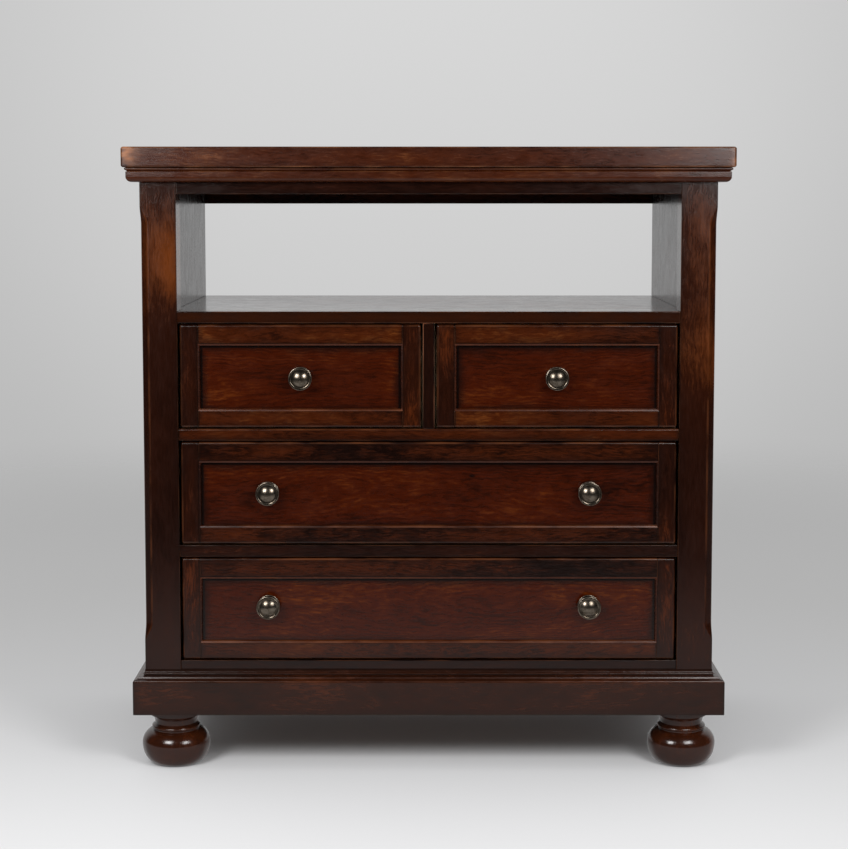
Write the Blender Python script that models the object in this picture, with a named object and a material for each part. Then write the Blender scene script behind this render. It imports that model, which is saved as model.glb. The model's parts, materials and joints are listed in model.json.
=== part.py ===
"""A media chest with an open niche over four drawers, in metres, +Z up.

The chest stands on the plane z = 0, faces -Y and is centred on the origin in X and Y.
It is built as a joiner builds one: posts, rails and boards that meet with a hairline gap,
mouldings mitred round the front corners, turned bun feet, and drawers that run on dust frames.
"""

import math

import bmesh
import bpy

# Clearances
SEAT_GAP = 0.0003            # between pieces that touch
DRAWER_GAP = 0.0026          # over and under a drawer front, in its opening
DRAWER_SIDE_GAP = 0.0040     # at each end of a drawer front
GUIDE_GAP = 0.0015           # between a drawer box and the guide beside it
WELD = 0.000001              # points closer than this are one point

# Case, measured over the posts
CASE_WIDTH = 1.0112
CASE_DEPTH = 0.505
FRONT_POST_WIDTH = 0.0634
FRONT_POST_DEPTH = 0.055
BACK_POST_WIDTH = 0.0446
BACK_POST_DEPTH = 0.045
ARRIS = 0.001                # small bevel on an edge that a hand meets

# Stopped chamfer on the outer corner of each front post
CHAMFER = 0.0125
CHAMFER_TONGUE = 0.030       # length of the curve that ends it
CHAMFER_BELOW_SLAB = 0.067
CHAMFER_ABOVE_PLINTH = 0.052
TONGUE_STEPS = 8

# Top
SLAB_THICKNESS = 0.0357
SLAB_EASE = 0.003
TOP_OVERHANG = 0.0279        # slab past the case at the front and the sides
TOP_MOULDING_OUT = 0.0205
TOP_MOULDING_HEIGHT = 0.0255
TOP_BEAD_OUT = 0.0225
TOP_BEAD_HEIGHT = 0.0045
TOP_QUIRK_HEIGHT = 0.0022
TOP_MOULDING_ROUND = 0.0095

# Heights of the front, from the floor up
FOOT_HEIGHT = 0.102
PLINTH_HEIGHT = 0.0787
BOTTOM_RAIL_REVEAL = 0.0156  # bottom rail that shows over the plinth
RAIL_HEIGHT = 0.0207
ROW_OPENING = 0.1873
SHELF_THICKNESS = 0.0205
NICHE_HEIGHT = 0.2057
UPPER_RAIL_REVEAL = 0.0208   # upper rail that shows under the moulding
BACK_RAIL_DROP = 0.020       # how far the back rail hangs below the front one

# Rails, stile and boards
RAIL_SETBACK = 0.0015
RAIL_DEPTH = 0.022
UPPER_RAIL_DEPTH = 0.020
CENTRE_STILE_WIDTH = 0.020
GUIDE_PROUD = 0.0015         # guide past the post's inner face, towards the drawers
GUIDE_THICKNESS = 0.012
LINER_SETBACK = 0.0093       # niche liner behind the post's inner face
LINER_THICKNESS = 0.009
BACK_PANEL_THICKNESS = 0.006

# Sides
SIDE_RAIL_SETBACK = 0.0015
SIDE_RAIL_THICKNESS = 0.020
UPPER_SIDE_REVEAL = 0.055
LOWER_SIDE_REVEAL = 0.060
SIDE_PANEL_RECESS = 0.008
SIDE_PANEL_THICKNESS = 0.009

# Dust frames: a frame of broad rails round a thin panel, glued into one board
DUST_RAIL = 0.055
DUST_RECESS = 0.006

# Plinth moulding, as distances out from the case and heights below the plinth's top
PLINTH_OUT = 0.0200
PLINTH_BEAD_OUT = 0.0045
PLINTH_BEAD_HEIGHT = 0.0077
PLINTH_FILLET_OUT = 0.0127
PLINTH_FILLET_TOP = 0.0112
PLINTH_FILLET_FOOT = 0.0148
PLINTH_FACE_TOP = 0.0164
PLINTH_BACK_THICKNESS = 0.018

# Bun foot, turned
FOOT_REVEAL = 0.0077         # plinth face past the bun
BUN_RADIUS = 0.060
BUN_MIDDLE = 0.033           # height of the widest ring
BUN_SHOULDER = 0.059         # height where the bun ends under its ring
BUN_SHOULDER_RADIUS = 0.044
FOOT_SOLE_RADIUS = 0.040
RING_RADIUS = 0.0435
NECK_RADIUS = 0.038
NECK_HEIGHT = 0.0735
COLLAR_RADIUS = 0.047
COLLAR_HEIGHT = 0.089        # height where the collar's cove ends
FOOT_STEPS = 28

# Drawer fronts: a frame of stiles and rails round a recessed panel
FRONT_THICKNESS = 0.020
FRONT_SETBACK = 0.0005
FRAME_WIDTH = 0.0355
FRAME_SINK = 0.0025          # the top rail is this much wider, and the bottom rail narrower
STICKING = 0.0025            # bevel on the frame's inner edge
PANEL_RECESS = 0.007
PANEL_THICKNESS = 0.006
PANEL_TONGUE = 0.006         # panel held inside the frame

# Drawer boxes
BOX_BACK_ROOM = 0.0482       # free depth behind a closed drawer, up to the back panel
BOX_WALL = 0.012
BOX_HEADROOM = 0.022         # free height over the box in its opening
BOX_BOTTOM_RISE = 0.010
BOX_BOTTOM_THICKNESS = 0.005
BOX_GROOVE = 0.006

# Knobs, turned; heights are from the panel that the backplate sits on
KNOB_RADIUS = 0.020
KNOB_PLATE_RADIUS = 0.0198
KNOB_PLATE_THICKNESS = 0.0022
KNOB_STEM_RADIUS = 0.0080
KNOB_STEM_END = 0.0115       # height where the stem starts to flare into the head
KNOB_EDGE_BACK = 0.0172      # height of the head's edge, at the back
KNOB_FACE = 0.0205           # height of the head's rim
KNOB_RIM_WIDTH = 0.0025
KNOB_COVE_DEPTH = 0.0015     # dished ring between the rim and the dome
KNOB_DOME_RADIUS = 0.0125
KNOB_DOME_HEIGHT = 0.0055
KNOB_SPIGOT_RADIUS = 0.0038
KNOB_STEPS = 20
WIDE_KNOB_INSET = 0.1572     # knob of a wide drawer from the end of its opening
TOP_KNOB_DROP = 0.0034       # knob below the middle of a small drawer
BOTTOM_KNOB_RISE = 0.0040    # knob above the middle of the bottom drawer
HOLE_STEPS = 16

# Planes and edges that several pieces share
FRONT_Y = (TOP_OVERHANG - CASE_DEPTH) / 2
BACK_Y = FRONT_Y + CASE_DEPTH
CASE_X = CASE_WIDTH / 2
POST_INNER_X = CASE_X - FRONT_POST_WIDTH
BACK_POST_INNER_X = CASE_X - BACK_POST_WIDTH
POST_BACK_Y = FRONT_Y + FRONT_POST_DEPTH
BACK_POST_FRONT_Y = BACK_Y - BACK_POST_DEPTH
RAIL_Y = FRONT_Y + RAIL_SETBACK
GUIDE_X = POST_INNER_X - GUIDE_PROUD
LINER_X = POST_INNER_X + LINER_SETBACK
SIDE_PANEL_X = CASE_X - SIDE_RAIL_SETBACK - SIDE_PANEL_RECESS
BACK_PANEL_Y = BACK_Y - BACK_PANEL_THICKNESS

# Heights that several pieces share
PLINTH_TOP = FOOT_HEIGHT + PLINTH_HEIGHT
BOTTOM_RAIL_TOP = PLINTH_TOP + BOTTOM_RAIL_REVEAL
LOWER_RAIL_TOP = BOTTOM_RAIL_TOP + ROW_OPENING + RAIL_HEIGHT
UPPER_RAIL_TOP = LOWER_RAIL_TOP + ROW_OPENING + RAIL_HEIGHT
SHELF_BOTTOM = UPPER_RAIL_TOP + ROW_OPENING
SHELF_TOP = SHELF_BOTTOM + SHELF_THICKNESS
NICHE_TOP = SHELF_TOP + NICHE_HEIGHT
BACK_RAIL_BOTTOM = NICHE_TOP - BACK_RAIL_DROP
MOULDING_BOTTOM = NICHE_TOP + UPPER_RAIL_REVEAL
SLAB_BOTTOM = MOULDING_BOTTOM + TOP_MOULDING_HEIGHT

# Finishes: base colour, roughness, metallic
CHERRY = ((0.075, 0.026, 0.014), 0.30, 0.0)
DARK_CHERRY = ((0.050, 0.020, 0.013), 0.30, 0.0)
DRAWER_WOOD = ((0.62, 0.45, 0.27), 0.50, 0.0)
PEWTER = ((0.30, 0.28, 0.25), 0.32, 1.0)


def clear_scene():
    for thing in list(bpy.data.objects):
        bpy.data.objects.remove(thing)


def add_finish(piece, finish):
    """Gives the piece a Principled material of its own."""
    color, roughness, metallic = finish
    material = bpy.data.materials.new(piece.name + " finish")
    material.use_nodes = True
    shader = material.node_tree.nodes["Principled BSDF"]
    shader.inputs["Base Color"].default_value = (*color, 1.0)
    shader.inputs["Roughness"].default_value = roughness
    shader.inputs["Metallic"].default_value = metallic
    # The slot belongs to the object, so pieces that share a mesh keep their own materials.
    if not piece.data.materials:
        piece.data.materials.append(None)
    piece.material_slots[0].link = "OBJECT"
    piece.material_slots[0].material = material


def place(name, mesh, finish, location=(0.0, 0.0, 0.0), parent=None):
    """Puts a mesh in the scene; location is in the world, also under a parent."""
    piece = bpy.data.objects.new(name, mesh)
    bpy.context.scene.collection.objects.link(piece)
    piece.location = location
    if parent is not None:
        piece.parent = parent
        piece.location = [at - base for at, base in zip(location, parent.location)]
    add_finish(piece, finish)
    return piece


def mesh_from(name, bm):
    """Turns a closed bmesh into a mesh whose faces point out."""
    bmesh.ops.remove_doubles(bm, verts=bm.verts, dist=WELD)
    bmesh.ops.recalc_face_normals(bm, faces=bm.faces)
    mesh = bpy.data.meshes.new(name)
    bm.to_mesh(mesh)
    bm.free()
    return mesh


def lofted_mesh(name, sections):
    """Joins closed outlines of equal length, one after another, and caps the two ends."""
    bm = bmesh.new()
    rings = [[bm.verts.new(point) for point in section] for section in sections]
    bm.faces.new(rings[0])
    bm.faces.new(rings[-1])
    for near, far in zip(rings, rings[1:]):
        count = len(near)
        for index in range(count):
            after = (index + 1) % count
            bm.faces.new((near[index], near[after], far[after], far[index]))
    return mesh_from(name, bm)


def ring_mesh(name, half_width, half_height, profile, upright, sink=0.0):
    """A rectangular ring: each profile point (inset, level) becomes one rectangle of it.

    An upright ring stands in the XZ plane and its levels run along Y. A flat one lies in XY.
    The inner rectangles, those past half of the largest inset, sit lower by sink.
    """
    bm = bmesh.new()
    loops = []
    inner_side = max(inset for inset, level in profile) / 2
    for inset, level in profile:
        across = half_width - inset
        shift = sink if inset > inner_side else 0.0
        low = inset - half_height - shift
        high = half_height - inset - shift
        corners = ((-across, low), (across, low), (across, high), (-across, high))
        if upright:
            points = [(x, level, z) for x, z in corners]
        else:
            points = [(x, y, level) for x, y in corners]
        loops.append([bm.verts.new(point) for point in points])
    for near, far in zip(loops, loops[1:] + loops[:1]):
        for index in range(4):
            after = (index + 1) % 4
            bm.faces.new((near[index], near[after], far[after], far[index]))
    return mesh_from(name, bm)


def turned_mesh(name, profile, steps):
    """Spins a profile of (radius, height) points round Z, from axis to axis."""
    bm = bmesh.new()
    points = [bm.verts.new((radius, 0.0, height)) for radius, height in profile]
    for near, far in zip(points, points[1:]):
        bm.edges.new((near, far))
    bmesh.ops.spin(
        bm,
        geom=bm.verts[:] + bm.edges[:],
        cent=(0.0, 0.0, 0.0),
        axis=(0.0, 0.0, 1.0),
        angle=math.tau,
        steps=steps,
        use_merge=True,
    )
    mesh = mesh_from(name, bm)
    mesh.shade_smooth()
    mesh.set_sharp_from_angle(angle=math.radians(40))
    return mesh


def arc(center, radii, start, end, steps):
    """Points of an elliptical arc; angles in degrees, from +radius towards +height."""
    points = []
    for step in range(steps + 1):
        angle = math.radians(start + (end - start) * step / steps)
        points.append((center[0] + radii[0] * math.cos(angle), center[1] + radii[1] * math.sin(angle)))
    return points


def board(name, low, high, finish, ease=0.0, segments=1, parent=None):
    """A plain board between two corners, its edges eased by a bevel."""
    bm = bmesh.new()
    bmesh.ops.create_cube(bm, size=1.0)
    size = [top - bottom for bottom, top in zip(low, high)]
    bmesh.ops.scale(bm, vec=size, verts=bm.verts)
    middle = [(bottom + top) / 2 for bottom, top in zip(low, high)]
    piece = place(name, mesh_from(name, bm), finish, middle, parent)
    if ease:
        bevel = piece.modifiers.new("eased edges", "BEVEL")
        bevel.width = ease
        bevel.segments = segments
    return piece


def mirrored_board(name, inner_x, outer_x, low, high, finish, ease=0.0):
    """The same board on the left and on the right; low and high are (y, z)."""
    board(name + "_left", (-outer_x, *low), (-inner_x, *high), finish, ease)
    board(name + "_right", (inner_x, *low), (outer_x, *high), finish, ease)


def add_top():
    slab_x = CASE_X + TOP_OVERHANG
    low = (-slab_x, FRONT_Y - TOP_OVERHANG, SLAB_BOTTOM)
    high = (slab_x, BACK_Y, SLAB_BOTTOM + SLAB_THICKNESS)
    board("top_slab", low, high, CHERRY, SLAB_EASE, segments=3)
    add_mitred_runs("top_moulding", top_moulding_profile(), CHERRY)


def top_moulding_profile():
    """(out, height) points: a bead under the slab, a quirk, and a face that rounds in below."""
    top = SLAB_BOTTOM - SEAT_GAP
    bead = TOP_BEAD_HEIGHT / 2
    face_top = top - TOP_BEAD_HEIGHT - TOP_QUIRK_HEIGHT
    foot = (TOP_MOULDING_OUT - TOP_MOULDING_ROUND, MOULDING_BOTTOM + TOP_MOULDING_ROUND)
    profile = [(SEAT_GAP, top)]
    profile += arc((TOP_BEAD_OUT - bead, top - bead), (bead, bead), 90, -90, 6)
    quirk_out = TOP_BEAD_OUT - 2 * bead
    profile += [(quirk_out, face_top), (TOP_MOULDING_OUT - ARRIS, face_top)]
    profile += [(TOP_MOULDING_OUT, face_top - ARRIS)]
    profile += arc(foot, (TOP_MOULDING_ROUND, TOP_MOULDING_ROUND), 0, -90, 6)
    profile += [(SEAT_GAP, MOULDING_BOTTOM)]
    return profile


def add_mitred_runs(name, profile, finish):
    """Carries a profile of (out, height) points along the front and both sides of the case."""
    front = []
    for side in (-1, 1):
        front.append([(side * (CASE_X + out - SEAT_GAP), FRONT_Y - out, z) for out, z in profile])
    place(name + "_front", lofted_mesh(name + "_front", front), finish)
    for side, word in ((-1, "left"), (1, "right")):
        mitre = [(side * (CASE_X + out), FRONT_Y - out + SEAT_GAP, z) for out, z in profile]
        square = [(side * (CASE_X + out), BACK_Y, z) for out, z in profile]
        run = f"{name}_{word}"
        place(run, lofted_mesh(run, (mitre, square)), finish)


def chamfer_levels():
    """(height, chamfer) pairs up a front post: nothing, a curve in, full, a curve out."""
    low = PLINTH_TOP + CHAMFER_ABOVE_PLINTH
    high = SLAB_BOTTOM - CHAMFER_BELOW_SLAB
    levels = [(FOOT_HEIGHT, 0.0)]
    for step in range(TONGUE_STEPS + 1):
        share = step / TONGUE_STEPS
        levels.append((low + CHAMFER_TONGUE * share, CHAMFER * (1 - math.cos(math.pi * share)) / 2))
    for height, depth in reversed(levels[1:]):
        levels.append((low + high - height, depth))
    levels.append((SLAB_BOTTOM - SEAT_GAP, 0.0))
    return levels


def add_front_posts():
    for side, word in ((-1, "left"), (1, "right")):
        sections = []
        for height, depth in chamfer_levels():
            outline = (
                (POST_INNER_X, FRONT_Y),
                (CASE_X - depth, FRONT_Y),
                (CASE_X, FRONT_Y + depth),
                (CASE_X, POST_BACK_Y),
                (POST_INNER_X, POST_BACK_Y),
            )
            sections.append([(side * x, y, height) for x, y in outline])
        name = "front_post_" + word
        place(name, lofted_mesh(name, sections), CHERRY)


def add_back_posts():
    low = (BACK_POST_FRONT_Y, FOOT_HEIGHT)
    high = (BACK_Y, SLAB_BOTTOM - SEAT_GAP)
    mirrored_board("back_post", BACK_POST_INNER_X, CASE_X, low, high, DARK_CHERRY, ARRIS)


def add_sides():
    """Two rails and a recessed panel between the posts of each side."""
    outer = CASE_X - SIDE_RAIL_SETBACK
    inner = outer - SIDE_RAIL_THICKNESS
    front = POST_BACK_Y + SEAT_GAP
    back = BACK_POST_FRONT_Y - SEAT_GAP
    upper_bottom = MOULDING_BOTTOM - UPPER_SIDE_REVEAL
    lower_top = PLINTH_TOP + LOWER_SIDE_REVEAL
    upper = ((front, upper_bottom), (back, SLAB_BOTTOM - SEAT_GAP))
    lower = ((front, FOOT_HEIGHT), (back, lower_top))
    mirrored_board("side_rail_upper", inner, outer, *upper, CHERRY, ARRIS)
    mirrored_board("side_rail_lower", inner, outer, *lower, CHERRY, ARRIS)
    panel = ((front, lower_top + SEAT_GAP), (back, upper_bottom - SEAT_GAP))
    mirrored_board("side_panel", SIDE_PANEL_X - SIDE_PANEL_THICKNESS, SIDE_PANEL_X, *panel, CHERRY)


def add_niche():
    """Upper rails, glossy liners and the shelf, open from front to back."""
    rail_x = POST_INNER_X - SEAT_GAP
    top = SLAB_BOTTOM - SEAT_GAP
    low = (-rail_x, RAIL_Y, NICHE_TOP)
    board("upper_front_rail", low, (rail_x, RAIL_Y + UPPER_RAIL_DEPTH, top), DARK_CHERRY, ARRIS)
    back_x = LINER_X - SEAT_GAP
    low = (-back_x, BACK_Y - UPPER_RAIL_DEPTH, BACK_RAIL_BOTTOM)
    board("upper_back_rail", low, (back_x, BACK_Y, top), DARK_CHERRY, ARRIS)
    liner = ((POST_BACK_Y + SEAT_GAP, SHELF_BOTTOM), (BACK_Y, top))
    mirrored_board("niche_liner", LINER_X, LINER_X + LINER_THICKNESS, *liner, DARK_CHERRY)
    add_shelf()


def add_shelf():
    """The shelf is notched round the front posts, and runs from liner to liner behind them."""
    front_x = POST_INNER_X - SEAT_GAP
    back_x = LINER_X - SEAT_GAP
    notch = POST_BACK_Y + SEAT_GAP
    right = [(front_x, FRONT_Y), (front_x, notch), (back_x, notch), (back_x, BACK_Y)]
    outline = right + [(-x, y) for x, y in reversed(right)]
    sections = [[(x, y, z) for x, y in outline] for z in (SHELF_BOTTOM, SHELF_TOP)]
    place("niche_shelf", lofted_mesh("niche_shelf", sections), DARK_CHERRY)


def dust_frame_mesh(name, half_x, half_y, bays):
    """A board with a shallow recess above and below in each bay between its broad rails."""
    edges_x = [-half_x]
    bay_width = (2 * half_x - (bays + 1) * DUST_RAIL) / bays
    for bay in range(bays):
        start = -half_x + DUST_RAIL + bay * (bay_width + DUST_RAIL)
        edges_x += [start, start + bay_width]
    edges_x.append(half_x)
    edges_y = [-half_y, -half_y + DUST_RAIL, half_y - DUST_RAIL, half_y]
    half_z = RAIL_HEIGHT / 2
    bm = bmesh.new()
    for level in (-half_z, half_z):
        grid = [[bm.verts.new((x, y, level)) for x in edges_x] for y in edges_y]
        bays_found = []
        for row in range(3):
            for column in range(len(edges_x) - 1):
                face = bm.faces.new(
                    (grid[row][column], grid[row][column + 1], grid[row + 1][column + 1], grid[row + 1][column])
                )
                if row == 1 and column % 2 == 1:
                    bays_found.append(face)
        for face in bays_found:
            made = bmesh.ops.extrude_discrete_faces(bm, faces=[face])
            step = -math.copysign(DUST_RECESS, level)
            bmesh.ops.translate(bm, verts=made["faces"][0].verts, vec=(0.0, 0.0, step))
    rims = [edge for edge in bm.edges if edge.is_boundary]
    bmesh.ops.bridge_loops(bm, edges=rims)
    return mesh_from(name, bm)


def add_drawer_carcass():
    """Front rails with the dust frames behind them, the centre division, guides and back."""
    rail_x = POST_INNER_X - SEAT_GAP
    frame_front = RAIL_Y + RAIL_DEPTH + SEAT_GAP
    frame_back = BACK_PANEL_Y - SEAT_GAP
    middle_y = (frame_front + frame_back) / 2
    half_y = (frame_back - frame_front) / 2
    rows = (
        ("drawer_rail_upper", "dust_frame_upper", UPPER_RAIL_TOP, 2),
        ("drawer_rail_lower", "dust_frame_lower", LOWER_RAIL_TOP, 1),
        ("bottom_rail", "dust_frame_bottom", BOTTOM_RAIL_TOP, 1),
    )
    for rail, frame, top, bays in rows:
        low = (-rail_x, RAIL_Y, top - RAIL_HEIGHT)
        board(rail, low, (rail_x, RAIL_Y + RAIL_DEPTH, top), CHERRY, ARRIS)
        mesh = dust_frame_mesh(frame, GUIDE_X - SEAT_GAP, half_y, bays)
        place(frame, mesh, DRAWER_WOOD, (0.0, middle_y, top - RAIL_HEIGHT / 2))

    low_z = UPPER_RAIL_TOP + SEAT_GAP
    high_z = SHELF_BOTTOM - SEAT_GAP
    stile_x = CENTRE_STILE_WIDTH / 2
    low = (-stile_x, RAIL_Y, low_z)
    board("centre_stile", low, (stile_x, RAIL_Y + RAIL_DEPTH, high_z), DARK_CHERRY, ARRIS)
    wall_x = stile_x + GUIDE_PROUD
    low = (-wall_x, frame_front, low_z)
    board("centre_partition", low, (wall_x, frame_back, high_z), DRAWER_WOOD)

    base_z = BOTTOM_RAIL_TOP - RAIL_HEIGHT
    guide = ((POST_BACK_Y + SEAT_GAP, base_z), (frame_back, high_z))
    mirrored_board("drawer_guide", GUIDE_X, GUIDE_X + GUIDE_THICKNESS, *guide, DRAWER_WOOD)
    panel_x = BACK_POST_INNER_X - SEAT_GAP
    board("back_panel", (-panel_x, BACK_PANEL_Y, base_z), (panel_x, BACK_Y, high_z), DRAWER_WOOD)


def plinth_profile():
    """(out, height) points from the seat on the case over the bead, the fillet and the face."""
    top = PLINTH_TOP
    quirk_out = PLINTH_BEAD_OUT / 2
    profile = [(SEAT_GAP, FOOT_HEIGHT), (PLINTH_OUT, FOOT_HEIGHT)]
    profile += [(PLINTH_OUT, top - PLINTH_FACE_TOP), (PLINTH_OUT - ARRIS, top - PLINTH_FACE_TOP + ARRIS)]
    profile += [(PLINTH_FILLET_OUT, top - PLINTH_FILLET_FOOT)]
    profile += arc((PLINTH_FILLET_OUT - ARRIS, top - PLINTH_FILLET_TOP - ARRIS), (ARRIS, ARRIS), 0, 90, 2)
    profile += [(quirk_out, top - PLINTH_FILLET_TOP), (quirk_out, top - PLINTH_BEAD_HEIGHT)]
    bead = (PLINTH_BEAD_OUT - SEAT_GAP, PLINTH_BEAD_HEIGHT)
    profile += arc((SEAT_GAP, top - PLINTH_BEAD_HEIGHT), bead, 0, 90, 5)
    return profile


def add_plinth():
    add_mitred_runs("plinth", plinth_profile(), CHERRY)
    half_x = BACK_POST_INNER_X - SEAT_GAP
    low = (-half_x, BACK_Y - PLINTH_BACK_THICKNESS, FOOT_HEIGHT)
    high = (half_x, BACK_Y, BOTTOM_RAIL_TOP - RAIL_HEIGHT - SEAT_GAP)
    board("plinth_back", low, high, DARK_CHERRY, ARRIS)


def foot_profile():
    """(radius, height) points up a bun foot: sole, bun, ring, neck and collar."""
    lean = BUN_RADIUS / 2
    sole_angle = math.degrees(math.acos((FOOT_SOLE_RADIUS - lean) / lean))
    shoulder_angle = math.degrees(math.acos((BUN_SHOULDER_RADIUS - lean) / lean))
    lower = BUN_MIDDLE / math.sin(math.radians(sole_angle))
    upper = (BUN_SHOULDER - BUN_MIDDLE) / math.sin(math.radians(shoulder_angle))
    ring_half = (NECK_HEIGHT - BUN_SHOULDER) / 4
    ring_middle = (NECK_HEIGHT + BUN_SHOULDER) / 2
    profile = [(0.0, 0.0)]
    profile += arc((lean, BUN_MIDDLE), (lean, lower), -sole_angle, 0, 5)
    profile += arc((lean, BUN_MIDDLE), (lean, upper), 0, shoulder_angle, 4)[1:]
    profile += [(NECK_RADIUS + ring_half, BUN_SHOULDER + ring_half / 2)]
    profile += arc((RING_RADIUS - ring_half, ring_middle), (ring_half, ring_half), -60, 60, 3)
    profile += [(NECK_RADIUS, NECK_HEIGHT)]
    cove = (COLLAR_RADIUS, NECK_HEIGHT)
    profile += arc(cove, (COLLAR_RADIUS - NECK_RADIUS, COLLAR_HEIGHT - NECK_HEIGHT), 180, 90, 4)[1:]
    profile += [(COLLAR_RADIUS, FOOT_HEIGHT - SEAT_GAP), (0.0, FOOT_HEIGHT - SEAT_GAP)]
    return profile


def add_feet():
    mesh = turned_mesh("bun foot", foot_profile(), FOOT_STEPS)
    inset = PLINTH_OUT - FOOT_REVEAL - BUN_RADIUS
    foot_x = CASE_X + inset
    for word, y in (("front", FRONT_Y - inset), ("back", BACK_Y + inset - PLINTH_OUT)):
        place(f"foot_{word}_left", mesh, CHERRY, (-foot_x, y, 0.0))
        place(f"foot_{word}_right", mesh, CHERRY, (foot_x, y, 0.0))


def knob_profile():
    """(radius, height) points: spigot, backplate, stem, flared head with a rim, and a dome."""
    plate = KNOB_PLATE_THICKNESS
    rim = KNOB_RADIUS - KNOB_RIM_WIDTH
    profile = [(0.0, -PANEL_THICKNESS), (KNOB_SPIGOT_RADIUS, -PANEL_THICKNESS), (KNOB_SPIGOT_RADIUS, 0.0)]
    profile += [(KNOB_PLATE_RADIUS, 0.0), (KNOB_PLATE_RADIUS, plate)]
    profile += [(KNOB_PLATE_RADIUS - KNOB_RIM_WIDTH, plate + ARRIS), (KNOB_STEM_RADIUS, plate + ARRIS)]
    profile += arc((rim, KNOB_STEM_END), (rim - KNOB_STEM_RADIUS, KNOB_EDGE_BACK - KNOB_STEM_END), 180, 90, 3)
    profile += [(KNOB_RADIUS, KNOB_EDGE_BACK + ARRIS), (KNOB_RADIUS, KNOB_FACE - ARRIS)]
    profile += [(KNOB_RADIUS - ARRIS, KNOB_FACE), (rim, KNOB_FACE)]
    dome_foot = KNOB_FACE - KNOB_COVE_DEPTH
    profile += [(KNOB_DOME_RADIUS + ARRIS, dome_foot)]
    profile += arc((0.0, dome_foot), (KNOB_DOME_RADIUS, KNOB_DOME_HEIGHT), 0, 90, 5)
    return profile


def drawer_front_profile():
    """(inset, level) points round a drawer front's frame, with the groove for its panel."""
    inner = FRAME_WIDTH
    groove = inner - PANEL_TONGUE - SEAT_GAP
    panel_front = PANEL_RECESS - SEAT_GAP
    panel_back = PANEL_RECESS + PANEL_THICKNESS + SEAT_GAP
    return [
        (0.0, FRONT_THICKNESS),
        (0.0, ARRIS),
        (ARRIS, 0.0),
        (inner - STICKING, 0.0),
        (inner, STICKING),
        (inner, panel_front),
        (groove, panel_front),
        (groove, panel_back),
        (inner, panel_back),
        (inner, FRONT_THICKNESS),
    ]


def drawer_box_profile(height):
    """(inset, level) points round a drawer box, with the groove for its bottom."""
    floor = BOX_BOTTOM_RISE - SEAT_GAP
    ceiling = BOX_BOTTOM_RISE + BOX_BOTTOM_THICKNESS + SEAT_GAP
    groove = BOX_WALL - BOX_GROOVE - SEAT_GAP
    return [
        (0.0, 0.0),
        (0.0, height),
        (BOX_WALL, height),
        (BOX_WALL, ceiling),
        (groove, ceiling),
        (groove, floor),
        (BOX_WALL, floor),
        (BOX_WALL, 0.0),
    ]


def knob_hole(panel, x, y, z):
    """Cuts the hole for a knob's spigot through a panel."""
    bm = bmesh.new()
    radius = KNOB_SPIGOT_RADIUS + SEAT_GAP
    depth = 3 * PANEL_THICKNESS  # well past both faces of the panel
    bmesh.ops.create_cone(
        bm, cap_ends=True, segments=HOLE_STEPS, radius1=radius, radius2=radius, depth=depth
    )
    cutter = bpy.data.objects.new("hole in " + panel.name, mesh_from("knob hole", bm))
    bpy.context.scene.collection.objects.link(cutter)
    cutter.location = (x, y, z)
    cutter.rotation_euler = (math.pi / 2, 0.0, 0.0)
    cutter.hide_render = True
    cutter.display_type = "WIRE"
    cut = panel.modifiers.new("knob hole", "BOOLEAN")
    cut.operation = "DIFFERENCE"
    cut.solver = "EXACT"
    cut.object = cutter


def add_drawer(name, left_x, right_x, floor_z, knob_mesh, knobs):
    """One drawer in the opening between two edges, on the rail whose top is at floor_z.

    knobs lists (name, distance across and up from the drawer's middle). The empty is the
    drawer's slide: it moves along -Y.
    """
    half_width = (right_x - left_x) / 2 - DRAWER_SIDE_GAP
    half_height = ROW_OPENING / 2 - DRAWER_GAP
    middle_x = (left_x + right_x) / 2
    middle_z = floor_z + ROW_OPENING / 2
    front_y = FRONT_Y + FRONT_SETBACK

    slide = bpy.data.objects.new(name + " slide", None)
    bpy.context.scene.collection.objects.link(slide)
    slide.location = (middle_x, front_y, middle_z)

    front = name + "_front"
    mesh = ring_mesh(front, half_width, half_height, drawer_front_profile(), upright=True, sink=FRAME_SINK)
    place(front, mesh, CHERRY, slide.location, slide)

    panel_x = half_width - FRAME_WIDTH + PANEL_TONGUE
    panel_z = half_height - FRAME_WIDTH + PANEL_TONGUE
    panel_y = front_y + PANEL_RECESS
    window_z = middle_z - FRAME_SINK
    low = (middle_x - panel_x, panel_y, window_z - panel_z)
    high = (middle_x + panel_x, panel_y + PANEL_THICKNESS, window_z + panel_z)
    panel = board(name + "_panel", low, high, CHERRY, parent=slide)
    for knob_name, across, up in knobs:
        knob_hole(panel, middle_x + across, panel_y, middle_z + up)
        seat = (middle_x + across, panel_y - SEAT_GAP, middle_z + up)
        knob = place(knob_name, knob_mesh, PEWTER, seat, slide)
        knob.rotation_euler = (math.pi / 2, 0.0, 0.0)

    box_half_width = (right_x - left_x) / 2 - GUIDE_PROUD - GUIDE_GAP
    add_drawer_box(name, middle_x, box_half_width, floor_z, slide)


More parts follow.
